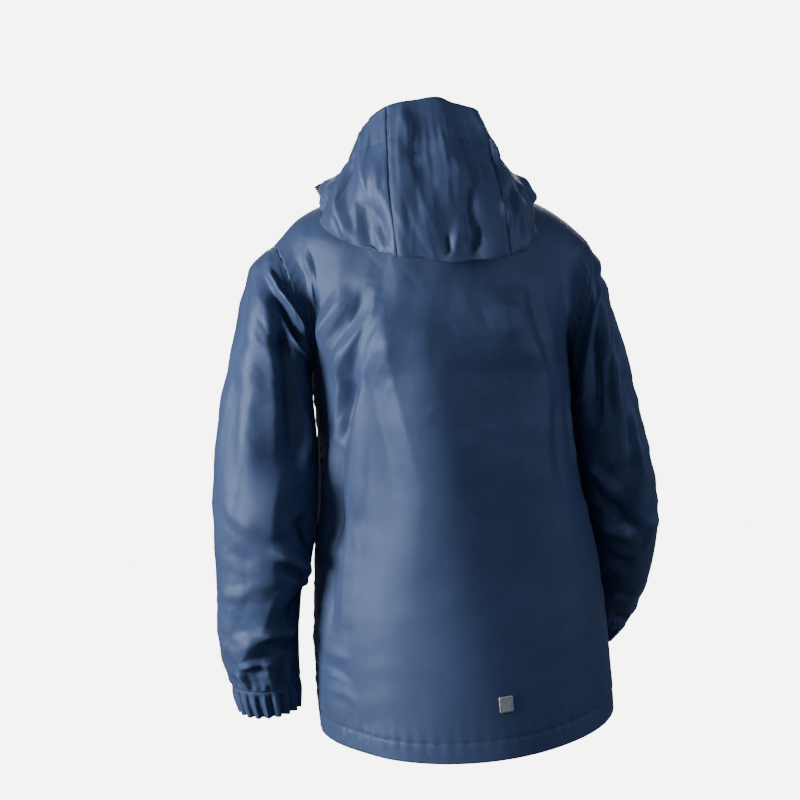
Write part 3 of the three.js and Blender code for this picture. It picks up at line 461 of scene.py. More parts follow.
def facets(x, y, seed, spacing=46):
    # crisp flat facets of stiff nylon: zigzags of unit height in several directions over wandering lines,
    # each let through only in patches
    rng = np.random.default_rng(seed)
    total = 0
    for k in range(8):
        turn = rng.uniform(0, np.pi)
        along, across = x * np.cos(turn) + y * np.sin(turn), y * np.cos(turn) - x * np.sin(turn)
        bend = 9 * np.sin(along / rng.uniform(28, 70) + rng.uniform(0, 6))
        zigzag = 2 * np.abs((((across + bend) / (spacing * rng.uniform(0.6, 1.4)) + rng.random()) % 1) - 0.5) - 0.5
        patch = np.sin(x / rng.uniform(24, 60) + rng.uniform(0, 6))
        patch = patch * np.sin(y / rng.uniform(30, 80) + rng.uniform(0, 6))
        total = total + zigzag * smooth(patch * 1.8)
    return total


def puckers(away, along, pitch, depth, reach, seed):
    # uneven small folds square to a seam: a cosine along it whose pitch and depth wander, dying off away from it
    rng = np.random.default_rng(seed)
    phase = sum(rng.uniform(0.5, 1.1) * np.sin(along / rng.uniform(14, 60) + rng.uniform(0, 6)) for _ in range(4))
    strength = 0.75 + 0.35 * np.sin(along / rng.uniform(20, 34) + rng.uniform(0, 6))
    return depth * strength * np.cos(along * 2 * np.pi / pitch + phase) * np.exp(-np.abs(away) / reach)


def groove(away, depth, width):
    # the cloth drawn in along a stitched line: depth times exp(-(away / width)^2)
    return -depth * np.exp(-((away / width) ** 2))


# angle, z, angle, z of each broad fold's ends, with its width and height
bodyFolds = [
    (40, -110, 60, -500, 19, 9), (22, -100, 42, -540, 19, -9), (6, -130, 20, -640, 26, 7),
    (-14, -150, -8, -640, 24, -5), (-36, -130, -44, -520, 24, 7), (-58, -120, -66, -540, 19, -6),
    (112, -150, 104, -560, 20, 6), (138, -150, 132, -600, 20, -5),
    (-112, -150, -102, -560, 20, 6), (-140, -160, -130, -600, 20, -5),
]
# the back hangs in two planes: one broad ridge from the left shoulder blade to the hem, hollow on its left
backPlanes = [(20, -110, -5, -650, 58, 12), (62, -300, 50, -680, 38, -7), (54, -10, 52, -200, 60, 10),
              (-20, -80, -22, -200, 28, 4)]
bodyRadius = 130  # turns an angle round the body into millimetres
skirt = bodyCut["underarmZ"] - bodyCut["hemZ"]  # from the underarm down to the hem
halfPanel = 215  # from a panel's middle to its side seam
hemStitch = 21  # the hem's stitching stands this far above its edge
backCreases = [
    (77, -96, 80, -112, 152, -314, -9.6, 6, 5),
    (80, -94, 63, -114, 162, -231, 7.2, 5, 4),
    (99, -96, 124, -127, 177, -159, 7.2, 6, 5),
    (88, -98, 89, -131, 167, -190, -6.6, 4.5, 4.5),
    (66, -96, 72, -162, 39, -333, 9.6, 8, 22),
    (117, -190, 107, -195, 165, -262, -4.8, 3.5, 3.5),
    (182, -59, 158, -85, 176, -115, 6.4, 3.5, 4.9),
    (175, -111, 186, -145, 190, -169, 4.6, 3.5, 3.5),
    (177, -72, 158, -110, 160, -129, -5.4, 3.5, 3.5),
    (105, -185, 128, -229, 140, -262, -12.5, 4.9, 4.9),
    (129, -232, 157, -327, 154, -376, -10.7, 6.3, 6.3),
    (153, -350, 150, -413, 159, -470, -4.4, 6.3, 6.3),
    (119, -186, 130, -223, 151, -262, 6.4, 3.5, 5.6),
    (149, -240, 196, -329, 190, -404, 6.4, 5.1, 10.2),
    (86, -226, 112, -329, 114, -448, -5.9, 13, 20),
    (-58, -94, -64, -133, -103, -212, 4.3, 9, 18),
    (-56, -106, -48, -125, -56, -156, 3.8, 8.5, 8.5),
    (-93, -84, -87, -121, -112, -212, -7.4, 5.6, 5.6),
    (-145, -205, -142, -259, -150, -325, 3.8, 2.8, 3.5),
    (-116, -205, -101, -257, -107, -338, -5.3, 5.6, 5.6),
    (184, -468, 150, -484, 119, -481, 1.8, 2.8, 3.5),
    (182, -491, 137, -492, 118, -511, -1.8, 2.8, 3.5),
    (182, -523, 139, -514, 112, -531, 1.8, 2.8, 3.5),
    (160, -580, 131, -565, 109, -537, 1.4, 2.8, 3.5),
]
# the hidden front, with creases of the same sizes: side seams to the zip and down from the chest
frontCreases = [
    (388, -80, 330, -115, 300, -170, 3.9, 4.2, 6.3),
    (240, -95, 262, -120, 250, -175, -4.4, 4.9, 4.9),
    (225, -105, 250, -165, 238, -240, 3.9, 4.2, 6.3),
    (330, -190, 300, -250, 306, -330, -4.4, 6.3, 6.3),
    (240, -240, 268, -330, 262, -430, 3.9, 7.6, 11),
    (376, -240, 352, -300, 366, -380, 3.3, 4.2, 7),
    (392, -330, 360, -352, 330, -350, -2.9, 4.2, 4.2),
    (225, -330, 236, -400, 222, -480, -3.3, 5.6, 6.3),
    (300, -360, 318, -440, 296, -540, 3.3, 10.2, 11.9),
    (350, -420, 340, -480, 352, -550, -2.9, 7, 7),
    (212, -470, 240, -482, 262, -476, 1.8, 2.8, 3.5),
    (212, -505, 238, -510, 268, -525, -1.8, 2.8, 3.5),
    (214, -540, 240, -536, 262, -548, 1.7, 2.8, 3.5),
    (398, -210, 376, -226, 350, -224, 2.2, 3.5, 4.2),
    (398, -270, 380, -282, 358, -288, -2, 3.5, 4.2),
    (398, -460, 376, -474, 352, -476, 2, 3.5, 4.2),
    (398, -520, 380, -528, 350, -540, -1.8, 3.5, 4.2),
]
sleeveLength, sleeveRadius = 470, 50
leftSleeveFolds = [
    (75, 0.08, 120, 0.34, 11, -7), (40, 0.1, 70, 0.5, 13, 5), (170, 0.62, 95, 0.7, 12, 6),
    (180, 0.72, 110, 0.79, 11, -8), (110, 0.84, 60, 0.95, 10, -5), (-60, 0.55, -120, 0.68, 13, -6),
    (-100, 0.72, -50, 0.84, 12, 5),
]
rightSleeveFolds = [
    (60, 0.08, 85, 0.45, 11, 6), (90, 0.1, 120, 0.42, 11, -7), (20, 0.45, 100, 0.66, 12, 7),
    (130, 0.6, 60, 0.72, 11, -6), (40, 0.8, 90, 0.92, 10, 5), (-70, 0.6, -130, 0.7, 12, -6),
]
leftSleeveCreases = [
    (41, 46, 79, 10, 104, 8, 11.3, 3.7, 3.1),
    (44, 50, 84, 26, 106, 40, -14.2, 4.3, 4.3),
    (41, 48, 71, 89, 70, 142, 10.2, 12.9, 6.2),
    (69, 118, 77, 150, 78, 190, 7.6, 12.9, 6.2),
    (70, 24, 79, 27, 92, 31, 5.7, 2.5, 2.5),
    (80, 58, 98, 49, 120, 28, 6.2, 1.9, 2.5),
    (60, 97, 77, 89, 88, 48, -9.9, 3.7, 3.7),
    (29, 34, 44, 31, 58, 28, 7.4, 3.1, 3.1),
    (6, 46, 9, 86, 37, 120, -2.1, 3.7, 5),
    (13, 105, 50, 149, 46, 206, 2.2, 4.3, 5.6),
    (84, 104, 104, 161, 93, 208, -9.9, 5.6, 5.6),
    (110, 110, 124, 162, 110, 214, 6.2, 3.7, 3.7),
    (89, 192, 76, 242, 81, 284, 9.3, 11.5, 7.4),
    (80, 266, 83, 295, 87, 337, 7.6, 9.9, 7.4),
    (87, 321, 85, 363, 68, 382, 8.2, 9.9, 7.4),
    (72, 366, 56, 397, 43, 432, 7.6, 8.5, 7.4),
    (44, 416, 42, 448, 52, 470, 6.2, 3.1, 3.1),
    (76, 272, 100, 291, 140, 310, 10.3, 3.1, 3.7),
    (84, 289, 110, 306, 138, 325, -8.4, 3.1, 3.1),
    (66, 372, 93, 381, 142, 383, 8.4, 3.7, 3.7),
    (70, 388, 96, 397, 143, 407, -7.4, 3.1, 3.7),
    (40, 426, 71, 405, 104, 427, 6.8, 3.1, 3.1),
    (106, 243, 115, 262, 140, 284, -14.2, 5, 5),
    (134, 300, 134, 324, 127, 338, 8.4, 3.7, 3.7),
    (26, 235, 46, 254, 72, 260, 2.8, 3.7, 4.3),
    (22, 268, 43, 289, 71, 289, -2.8, 4.3, 4.3),
    (12, 322, 43, 333, 69, 318, 2.6, 3.7, 3.7),
    (7, 373, 28, 385, 56, 391, -2.2, 3.7, 3.7),
    (77, 400, 80, 428, 84, 474, 5.7, 4.3, 4.3),
    (106, 409, 98, 447, 98, 476, -5.7, 3.1, 3.1),
    (-30, 40, -60, 60, -96, 46, 8.4, 3.7, 3.7),
    (-40, 90, -70, 140, -64, 200, -8.4, 5, 5),
    (-96, 96, -84, 150, -100, 200, 8.4, 4.3, 5),
    (-28, 236, -70, 262, -120, 250, 9.6, 3.7, 4.3),
    (-36, 268, -80, 286, -128, 276, -9.6, 3.7, 4.3),
    (-30, 312, -74, 322, -112, 340, 7.4, 3.7, 3.7),
    (-44, 356, -80, 372, -118, 366, -7.4, 3.7, 3.7),
    (-50, 400, -76, 420, -70, 456, 5.7, 3.7, 3.7),
]
rightSleeveCreases = [
    (42, 2, 116, 60, 122, 200, 9.7, 5.6, 7.4),
    (46, 38, 57, 53, 82, 34, 6.9, 2.5, 3.1),
    (39, 66, 44, 135, 48, 192, 8.4, 3.1, 3.7),
    (48, 178, 50, 224, 58, 270, 8.4, 3.1, 3.7),
    (48, 100, 84, 136, 77, 210, -8.4, 4.3, 4.3),
    (95, 6, 143, 46, 150, 176, -8.4, 4.3, 4.3),
    (126, 220, 116, 264, 80, 270, 8.4, 3.7, 5),
    (129, 253, 119, 291, 78, 297, -9.7, 4.3, 4.3),
    (124, 307, 105, 330, 62, 321, 8.4, 3.7, 4.3),
    (129, 347, 105, 370, 60, 361, -8.4, 4.3, 4.3),
    (108, 409, 78, 426, 40, 415, 6.8, 3.7, 3.7),
    (92, 440, 60, 462, 40, 455, -6.2, 3.7, 3.7),
    (20, 300, 46, 320, 60, 352, 5.7, 3.7, 3.7),
    (-34, 36, -64, 60, -100, 44, 8.4, 3.7, 3.7),
    (-44, 96, -74, 140, -60, 206, -8.4, 5, 5),
    (-30, 216, -76, 240, -124, 226, 10.1, 3.7, 4.3),
    (-34, 250, -80, 268, -128, 258, -10.1, 3.7, 4.3),
    (-28, 288, -70, 300, -116, 322, 8.4, 3.7, 3.7),
    (-48, 340, -80, 356, -118, 350, -7.3, 3.7, 3.7),
    (-52, 396, -78, 410, -72, 446, 5.7, 3.7, 3.7),
]
hoodAround, hoodAlong = 400, 250
gussetShare, hoodFront = 0.22, 0.9623  # the gusset's seam and the hood's front end, as shares of the way round
hoodFolds = [
    (0.34, 0.52, 0.3, 0.86, 14, -8), (0.52, 0.6, 0.4, 0.9, 12, 6), (0.66, 0.5, 0.58, 0.92, 11, -6),
    (-0.05, 0.55, -0.1, 0.8, 16, -5), (-0.3, 0.5, -0.34, 0.88, 13, 6), (-0.46, 0.55, -0.42, 0.9, 12, -7),
    (-0.62, 0.5, -0.58, 0.85, 11, 5),
]
hoodCreases = [
    (65, 252, 70, 215, 80, 152, 5, 20, 12),
    (53, 225, 60, 201, 8, 163, 8.8, 8, 16),
    (-16, 221, -24, 203, -27, 190, 6.2, 6, 5),
    (-57, 246, -111, 240, -105, 184, 6.2, 4, 5),
    (-99, 248, -94, 232, -156, 201, -6.2, 4, 4),
    (125, 227, 85, 196, 136, 178, 6.2, 5, 7),
    (155, 192, 114, 193, 97, 164, -6.2, 5, 6),
    (-101, 241, -91, 226, -100, 216, 6, 3.2, 3.9),
    (-108, 223, -108, 208, -128, 198, 7.1, 3.2, 3.9),
    (-160, 224, -124, 201, -101, 184, -7.5, 3.2, 3.2),
    (13, 174, 11, 167, 8, 158, -4.8, 2.6, 3.2),
    (-21, 161, -35, 170, -47, 177, -4.8, 2.6, 3.2),
    (7, 167, -11, 176, -29, 181, 4.8, 3.2, 3.2),
    (183, 232, 179, 215, 179, 174, -8.2, 5.9, 5.9),
    (171, 241, 110, 207, 137, 172, 7.1, 6.5, 7.8),
    (206, 214, 170, 176, 157, 155, 7.1, 3.9, 5.2),
    (121, 196, 113, 174, 90, 159, -4.8, 3.9, 5.2),
    (49, 232, 47, 207, 48, 174, -5.9, 7.8, 7.8),
    (-1, 236, -11, 212, 8, 180, 5.9, 7.8, 9.1),
    (-37, 210, -21, 188, -32, 174, -4.1, 5.2, 5.2),
    (-83, 196, -85, 187, -112, 178, 5.2, 3.2, 3.9),
    (-203, 213, -178, 192, -135, 181, 4.8, 3.2, 3.9),
    (155, 246, 171, 244, 145, 235, 4.1, 3.9, 3.9),
    (68, 246, 56, 236, 43, 230, 3.5, 3.9, 3.9),
    (250, 232, 240, 190, 252, 150, -6, 4.5, 5.2),
    (290, 226, 284, 190, 300, 156, 5.6, 3.9, 5.2),
    (-240, 230, -232, 190, -246, 150, 6, 3.9, 5.2),
    (-290, 226, -280, 190, -296, 150, -5.6, 3.9, 5.2),
]
surfaceWear = dict(crinkle=0.7, facet=1.5, crinkleSeed=7, hemPitch=11, hemDepth=0.55, seamDepth=0.7)


def withDegrees(folds, radius, length):
    # folds given by angle and share of a length, as millimetres on the cloth
    return [(np.radians(a) * radius, b * length, np.radians(c) * radius, d * length, w, h)
            for a, b, c, d, w, h in folds]


def bodyLift(side, u, v, mirror):
    # how far the cloth stands off the smooth body form, in millimetres
    form = bodyForm(side, u, v)
    turn = u * np.pi / 2 if side > 0 else np.pi - u * np.pi / 2
    turn = np.where(mirror, -turn, turn)
    x, z = turn * bodyRadius, form[..., 2]
    across = np.abs(u)
    nearArm = np.maximum(smooth((1 - across) * 5), smooth((v - 1) * 5))
    nearZip = 1 if side > 0 else smooth((u - 0.08) * 8)
    lift = softFolds(x, z, withDegrees(bodyFolds, bodyRadius, 1)) * nearArm * nearZip
    lift *= mix(0.1, 0.35, smooth((z + 420) / 260))  # the cloth's broad folds soften towards the hem
    if side > 0:
        lift += softFolds(x, z, withDegrees(backPlanes, bodyRadius, 1)) * nearArm
    fineArm = np.maximum(smooth((1 - across) * 14), smooth((v - 0.95) * 9)) * smooth(v * 7)
    creases = backCreases if side > 0 else frontCreases
    fromZip = 1 if side > 0 else smooth((u - 0.05) * 10)
    lift += creaseLift(np.abs(x) if side < 0 else x, z, creases) * fineArm * fromZip
    box = (-210, 210, -600, -60) if side > 0 else (200, 410, -600, -60)
    seed = surfaceWear["crinkleSeed"] + (0 if side > 0 else 1 + int(mirror))
    busy = np.maximum(smooth((across - 0.35) * 2.2), smooth((z + 330) / 160)) * 0.75 + 0.25
    fine = crinkles(np.abs(x) if side < 0 else x, z, 260 if side > 0 else 140, seed, box, surfaceWear["crinkle"])
    lift += (fine + 0.8 * facets(np.abs(x) if side < 0 else x, z, seed + 3)) * fineArm * busy
    toSide, down = (1 - across) * halfPanel, (v - 1) * skirt
    lift += puckers(toSide, down, 13, surfaceWear["seamDepth"], 15, seed + 20) * smooth((v - 1) * 8)
    toArm = np.where(v < 1, (1 - across) * 190, 60)
    lift += puckers(toArm, v * 196, 15, 0.6, 9, seed + 30) * smooth(v * 6)
    # the waist's sides rest near the sleeves
    lift += 2.4 * smooth((across - 0.75) * 5) * np.exp(-(((z + 218) / 32) ** 2))
    toHem = (2 - v) * skirt
    hemRow = puckers(toHem - hemStitch, x, surfaceWear["hemPitch"], surfaceWear["hemDepth"], 9, seed + 40)
    lift += hemRow * smooth((v - 1.8) * 20)
    lift += groove(toHem - hemStitch, 0.7, 1.5) + groove(toSide, 0.8, 2.2) * (v > 1)
    if side < 0:
        lift += puckers(u * halfPanel - 9, v * skirt, 12, 0.5, 10, seed + 50) * smooth((u - 0.03) * 30)
        lift += groove(u * halfPanel - 12, 0.5, 1.4)
    return lift


def sleeveLift(folds, creases, seed, turn, place):
    # as bodyLift, on a sleeve unrolled about its outer line
    signed = np.where(turn > np.pi, turn - 2 * np.pi, turn)
    x, y = signed * sleeveRadius, place * sleeveLength
    nearEnds = smooth(place * 9) * smooth((1 - place) * 14)
    lift = softFolds(x, y, withDegrees(folds, sleeveRadius, sleeveLength)) * nearEnds
    fineEnds = smooth(place * 40) * smooth((1 - place) * 30)
    lift += creaseLift(x, y, creases) * fineEnds
    closing = smooth((np.pi - np.abs(signed)) * 3)
    fine = crinkles(x, y, 150, seed, (-150, 150, 8, 462), surfaceWear["crinkle"] * 1.2)
    lift += (fine + surfaceWear["facet"] * facets(x, y, seed + 3)) * fineEnds * closing
    around, girth = turn * sleeveRadius, 2 * np.pi * sleeveRadius
    lift += puckers(place * sleeveLength, around, girth / 21, 0.7, 9, seed + 5) * smooth(place * 60)
    toCuff = (1 - place) * sleeveLength
    lift += puckers(toCuff, around, girth / 26, 1.3, 14, seed + 6) * smooth((1 - place) * 60)
    lift += groove((np.pi - np.abs(signed)) * 45, 0.7, 2)
    return lift


def cuffLift(seed, turn, place, start):
    # even elastic gathers: eighteen broad ones with narrow valleys, and finer ones between them
    grow = smooth((place - start) * 5)
    even = np.cos(turn * 18)
    narrow = 1.7 * (even - 0.4) - 0.7 * np.maximum(0, -even) ** 3
    fine = 0.35 * np.cos(turn * 41 + np.sin(turn * 3 + seed)) + 0.25 * np.sin(turn * 7 + seed)
    slant = 0.3 * np.cos(turn * 18 + place * 5)
    return grow * (narrow + fine + slant) - 0.8 * smooth((start + 0.02 - place) * 60)


def hoodLift(share, along, seed=41):
    # as bodyLift, on the hood, with the gathers of its elastic casing
    x, y = share * hoodAround, along * hoodAlong
    side = np.abs(share)
    folds = [(a * hoodAround, b * hoodAlong, c * hoodAround, d * hoodAlong, w, h) for a, b, c, d, w, h in hoodFolds]
    lift = softFolds(x, y, folds)
    inCasing = smooth((side - 0.27) * 20) * smooth((0.685 - side) * 20)
    wave = np.cos((side - 0.27) / 0.415 * 7 * 2 * np.pi)
    lift += 0.35 * wave * inCasing * smooth((along - 0.84) * 12)
    ends = smooth(along * 9) * smooth((1 - side) * 14)
    lift += creaseLift(x, y, hoodCreases) * ends
    fine = crinkles(x, y, 150, seed, (-380, 380, 90, 240), surfaceWear["crinkle"] * 1.1)
    lift += (fine + 0.9 * surfaceWear["facet"] * facets(x, y, seed + 3, 54)) * ends
    fromSeam = (side - gussetShare) * hoodAround
    lift += puckers(fromSeam, y, 14, 0.6, 11, seed + 1) * ends + groove(fromSeam, 0.9, 2.2)
    casing = y - 0.915 * hoodAlong
    lift += puckers(casing, x * 0.8, 10.5, 0.4, 6, seed + 2) * smooth((0.72 - side) * 12) + groove(casing, 0.8, 1.5)
    return lift + puckers(y - 8, x * 0.6, 12, 0.4, 8, seed + 3)


def normalsOf(points, wrapped):
    # the cross product of the two ways across the grid, one of them closing on itself where wrapped
    if wrapped:
        across = np.roll(points, -1, 1) - np.roll(points, 1, 1)
    else:
        across = np.gradient(points, axis=1)
    return unit(np.cross(across, np.gradient(points, axis=0)) + 1e-12)


def clothSheet(name, form, lift, us, vs, outward, materials, thickness=1.0, wrapped=False):
    # the outer skin is posed(form + lift along the form's normal); the inner skin lies thickness behind it;
    # the cut attribute holds real metres for the weave, and ridge how strongly the cloth bends outwards
    u, v = np.meshgrid(us, vs)
    base = form(u, v)
    outer = posed(base + outward * normalsOf(base, wrapped) * lift(u, v)[..., None])
    normal = outward * normalsOf(outer, wrapped)
    inner = outer - normal * thickness
    rows, columns = u.shape
    count = rows * columns
    bend = sum(np.gradient(np.gradient(outer, axis=k), axis=k) for k in (0, 1))
    size = np.linalg.norm(np.gradient(outer, axis=0), axis=-1) * np.linalg.norm(np.gradient(outer, axis=1), axis=-1)
    ridge = np.clip(-np.sum(bend * normal, -1) / (size + 0.05) * 4, -1, 1)
    stepsAcross = np.linalg.norm(np.diff(outer, axis=1), axis=-1).mean(0)
    stepsDown = np.linalg.norm(np.diff(outer, axis=0), axis=-1).mean(1)
    cutU = np.concatenate([[0], np.cumsum(stepsAcross)]) / 1000
    cutV = np.concatenate([[0], np.cumsum(stepsDown)]) / 1000
    uv = np.stack(np.meshgrid(cutU, cutV), -1).reshape(-1, 2)
    front = gridFaces(rows, columns, wrapped)
    if outward < 0:
        front = front[:, ::-1]
    backFaces = front[:, ::-1] + count
    ids = np.arange(count).reshape(rows, columns)
    loops = [(ids[0], wrapped), (ids[-1][::-1], wrapped)]
    if not wrapped:
        loops += [(ids[::-1, 0], False), (ids[:, -1], False)]
    rims = []
    for line, closed in loops:
        after = np.roll(line, -1) if closed else line[1:]
        line = line if closed else line[:-1]
        strip = np.stack([after, line, line + count, after + count], -1)
        rims.append(strip if outward > 0 else strip[:, ::-1])
    rim = np.concatenate(rims)
    kinds = np.concatenate([np.zeros(len(front)), np.ones(len(backFaces)), np.zeros(len(rim))])
    made = meshFrom(name, np.concatenate([outer.reshape(-1, 3), inner.reshape(-1, 3)]) / 1000,
                    [np.concatenate([front, backFaces, rim])], materials, uv=np.concatenate([uv, uv]),
                    marks={"ridge": np.tile(ridge.reshape(-1), 2)}, kinds=kinds)
    return made, dict(points=outer, normals=normal, us=np.asarray(us), vs=np.asarray(vs))


def onSheet(sheet, u, v):
    # places and normals on a made sheet, between its grid's points
    column = np.interp(u, sheet["us"], np.arange(len(sheet["us"])))
    row = np.interp(v, sheet["vs"], np.arange(len(sheet["vs"])))
    c, r = np.minimum(column.astype(int), len(sheet["us"]) - 2), np.minimum(row.astype(int), len(sheet["vs"]) - 2)
    fc, fr = (column - c)[:, None], (row - r)[:, None]
    out = []
    for key in ("points", "normals"):
        g = sheet[key]
        out.append(mix(mix(g[r, c], g[r, c + 1], fc), mix(g[r + 1, c], g[r + 1, c + 1], fc), fr))
    return out[0], unit(out[1])


def beadsAlong(path, normals, pitch, length, width, height, lift=0.0, shift=0.0):
    # small rounded stitches, one every pitch millimetres along a path, each an eight-cornered bead with two points
    steps = np.linalg.norm(np.diff(path, axis=0), axis=1)
    run = np.concatenate([[0], np.cumsum(steps)])
    at = np.arange(pitch * (0.5 + shift), run[-1] - pitch * 0.4, pitch)
    if len(at) == 0:
        return np.zeros((0, 3)), np.zeros((0, 3), int)

    def pick(values, place):
        return np.stack([np.interp(place, run, values[:, k]) for k in range(3)], -1)

    start, end = pick(path, at - length / 2), pick(path, at + length / 2)
    normal = unit(pick(normals, at))
    forward = unit(end - start)
    side = unit(np.cross(normal, forward))
    middleAt = (start + end) / 2 + normal * lift
    corners = []
    for share in (-0.28, 0.28):
        for turn in (0, 90, 180, 270):
            offset = side * np.cos(np.radians(turn)) * width / 2 + normal * np.sin(np.radians(turn)) * height / 2
            corners.append(middleAt + forward * length * share + offset)
    corners += [middleAt + forward * length * share - normal * height * 0.3 for share in (-0.5, 0.5)]
    points = np.stack(corners, 1)
    ring = [(k, (k + 1) % 4, 4 + (k + 1) % 4, 4 + k) for k in range(4)]
    tris = [t for a, b, c, d in ring for t in ((a, b, c), (a, c, d))]
    tris += [(8, (k + 1) % 4, k) for k in range(4)] + [(9, 4 + k, 4 + (k + 1) % 4) for k in range(4)]
    faces = np.array(tris)[None] + 10 * np.arange(len(at))[:, None, None]
    return points.reshape(-1, 3), faces.reshape(-1, 3)


def joined(parts):
    # several (points, faces) pairs as one
    points, faces, count = [], [], 0
    for p, f in parts:
        points.append(p)
        faces.append(f + count)
        count += len(p)
    return np.concatenate(points), np.concatenate(faces)


def nylonMaterial(name, look):
    # coated nylon taffeta: a soft broad sheen over a fine plain weave, paler and duller where folds rub, and darkened
    # by painted shade in the hollows of the folds
    made, tree = newMaterial(name)
    cut = addNode(tree, "UVMap", {"uv_map": "cut"}).outputs[0]
    place = addNode(tree, "TexCoord").outputs["Object"]
    ridge = addNode(tree, "Attribute", {"attribute_name": "ridge"}).outputs["Fac"]
    split = addNode(tree, "SeparateXYZ", n0=cut)
    threads = []
    for axis in (0, 1):
        turned = addNode(tree, "Math", {"operation": "MULTIPLY"}, n0=split.outputs[axis], n1=2 * np.pi / look["thread"])
        threads.append(addNode(tree, "Math", {"operation": "SINE"}, n0=turned.outputs[0]).outputs[0])
    weave = addNode(tree, "Math", {"operation": "MULTIPLY"}, n0=threads[0], n1=threads[1]).outputs[0]
    cloudy = addNode(tree, "TexNoise", Vector=place, Scale=14.0, Detail=4.0, Roughness=0.6).outputs["Fac"]
    slubs = addNode(tree, "TexNoise", Vector=addNode(tree, "Mapping", n0=cut, Scale=(900, 60, 1)).outputs[0],
                    Scale=1.0, Detail=2.0).outputs["Fac"]
    wrinkle = addNode(tree, "TexNoise", {"noise_type": "RIDGED_MULTIFRACTAL"}, Vector=place, Scale=46.0, Detail=3.0,
                      Roughness=0.5, Lacunarity=2.2).outputs["Fac"]
    tone = addNode(tree, "MapRange", n0=cloudy, n1=0.3, n2=0.7, n3=0.0, n4=1.0).outputs[0]
    colour = addNode(tree, "Mix", {"data_type": "RGBA"}, n0=tone, n6=linearColour(look["colour"]),
                     n7=linearColour(look["paler"])).outputs[2]
    rubbed = addNode(tree, "MapRange", n0=ridge, n1=0.15, n2=0.9, n3=0.0, n4=look["rub"]).outputs[0]
    colour = addNode(tree, "Mix", {"data_type": "RGBA"}, n0=rubbed, n6=colour,
                     n7=linearColour(look["rubbed"])).outputs[2]
    # painted shade: where the cloth bends inwards, in the folds' valleys, its colour is drawn towards the darker hollow
    # colour
    paintedCreaseShade = addNode(tree, "MapRange", n0=ridge, n1=-0.15, n2=-0.9, n3=0.0, n4=0.35).outputs[0]
    colour = addNode(tree, "Mix", {"data_type": "RGBA"}, n0=paintedCreaseShade, n6=colour,
                     n7=linearColour(look["paintedCreaseShade"])).outputs[2]
    rough = addNode(tree, "MapRange", n0=slubs, n1=0.3, n2=0.7, n3=look["rough"] - 0.04,
                    n4=look["rough"] + 0.05).outputs[0]
    rough = addNode(tree, "Math", {"operation": "MULTIPLY_ADD"}, n0=rubbed, n1=0.25, n2=rough).outputs[0]
    fine = addNode(tree, "Bump", Strength=look["weave"], Distance=0.00008, Height=weave)
    fine = addNode(tree, "Bump", Strength=0.12, Distance=0.0002, Height=slubs, Normal=fine.outputs[0])
    bump = addNode(tree, "Bump", Strength=look["wrinkle"], Distance=0.0006, Height=wrinkle, Normal=fine.outputs[0])
    closeMaterial(tree, addNode(tree, "BsdfPrincipled", Base_Color=colour, Roughness=rough, Normal=bump.outputs[0],
                                Specular_IOR_Level=look["specular"], Specular_Tint=linearColour(look["gleam"]),
                                Sheen_Weight=look["sheen"], Sheen_Roughness=0.45,
                                Sheen_Tint=linearColour(look["sheenTint"]), Coat_Weight=look["coat"],
                                Coat_Roughness=0.34))
    return made


# the hollow colour here and in the backing's look is a painted shade laid into the folds' valleys
nylonLook = dict(colour="#344161", paler="#3b4b6e", rubbed="#54678a", paintedCreaseShade="#222d48", rub=0.3, thread=0.00045,
                 weave=0.35, wrinkle=0.12, rough=0.43, specular=0.5, gleam="#b4c6f0",
                 sheen=0.06, sheenTint="#8fa6d0", coat=0.0)
backingLook = dict(nylonLook, colour="#232e49", paler="#293552", rubbed="#39465f", paintedCreaseShade="#161f33", weave=0.6,
                   rough=0.6, specular=0.35, sheen=0.08)


def tapeMaterial(name, look):
    # woven polyester tape: a clear diagonal twill, dull, with slightly frayed pale threads
    made, tree = newMaterial(name)
    place = addNode(tree, "TexCoord").outputs["Object"]
    twill = addNode(tree, "TexWave", {"wave_type": "BANDS", "bands_direction": "DIAGONAL"}, Vector=place,
                    Scale=look["twill"], Distortion=0.6, Detail=1.0).outputs["Fac"]
    lint = addNode(tree, "TexNoise", Vector=place, Scale=600.0, Detail=3.0).outputs["Fac"]
    fade = addNode(tree, "MapRange", n0=lint, n1=0.35, n2=0.75, n3=0.0, n4=1.0).outputs[0]
    colour = addNode(tree, "Mix", {"data_type": "RGBA"}, n0=fade, n6=linearColour(look["colour"]),
                     n7=linearColour(look["lint"])).outputs[2]
    bump = addNode(tree, "Bump", Strength=0.5, Distance=0.0002, Height=twill)
    closeMaterial(tree, addNode(tree, "BsdfPrincipled", Base_Color=colour, Roughness=0.82, Normal=bump.outputs[0],
                                Specular_IOR_Level=0.3, Sheen_Weight=0.25))
    return made


def plasticMaterial(name, look):
    # moulded acetal: smooth with a faint mould grain, dull scratches where it rubs
    made, tree = newMaterial(name)
    place = addNode(tree, "TexCoord").outputs["Object"]
    grain = addNode(tree, "TexNoise", Vector=place, Scale=1800.0, Detail=2.0).outputs["Fac"]
    scuff = addNode(tree, "TexNoise", Vector=addNode(tree, "Mapping", n0=place, Scale=(160, 160, 1400)).outputs[0],
                    Scale=1.0, Detail=2.0).outputs["Fac"]
    worn = addNode(tree, "MapRange", n0=scuff, n1=0.55, n2=0.75, n3=0.0, n4=0.6).outputs[0]
    colour = addNode(tree, "Mix", {"data_type": "RGBA"}, n0=worn, n6=linearColour(look["colour"]),
                     n7=linearColour(look["worn"])).outputs[2]
    rough = addNode(tree, "MapRange", n0=worn, n1=0.0, n2=1.0, n3=look["rough"], n4=look["rough"] + 0.2).outputs[0]
    bump = addNode(tree, "Bump", Strength=0.2, Distance=0.00008, Height=grain)
    closeMaterial(tree, addNode(tree, "BsdfPrincipled", Base_Color=colour, Roughness=rough, Normal=bump.outputs[0],
                                Specular_IOR_Level=0.3))
    return made


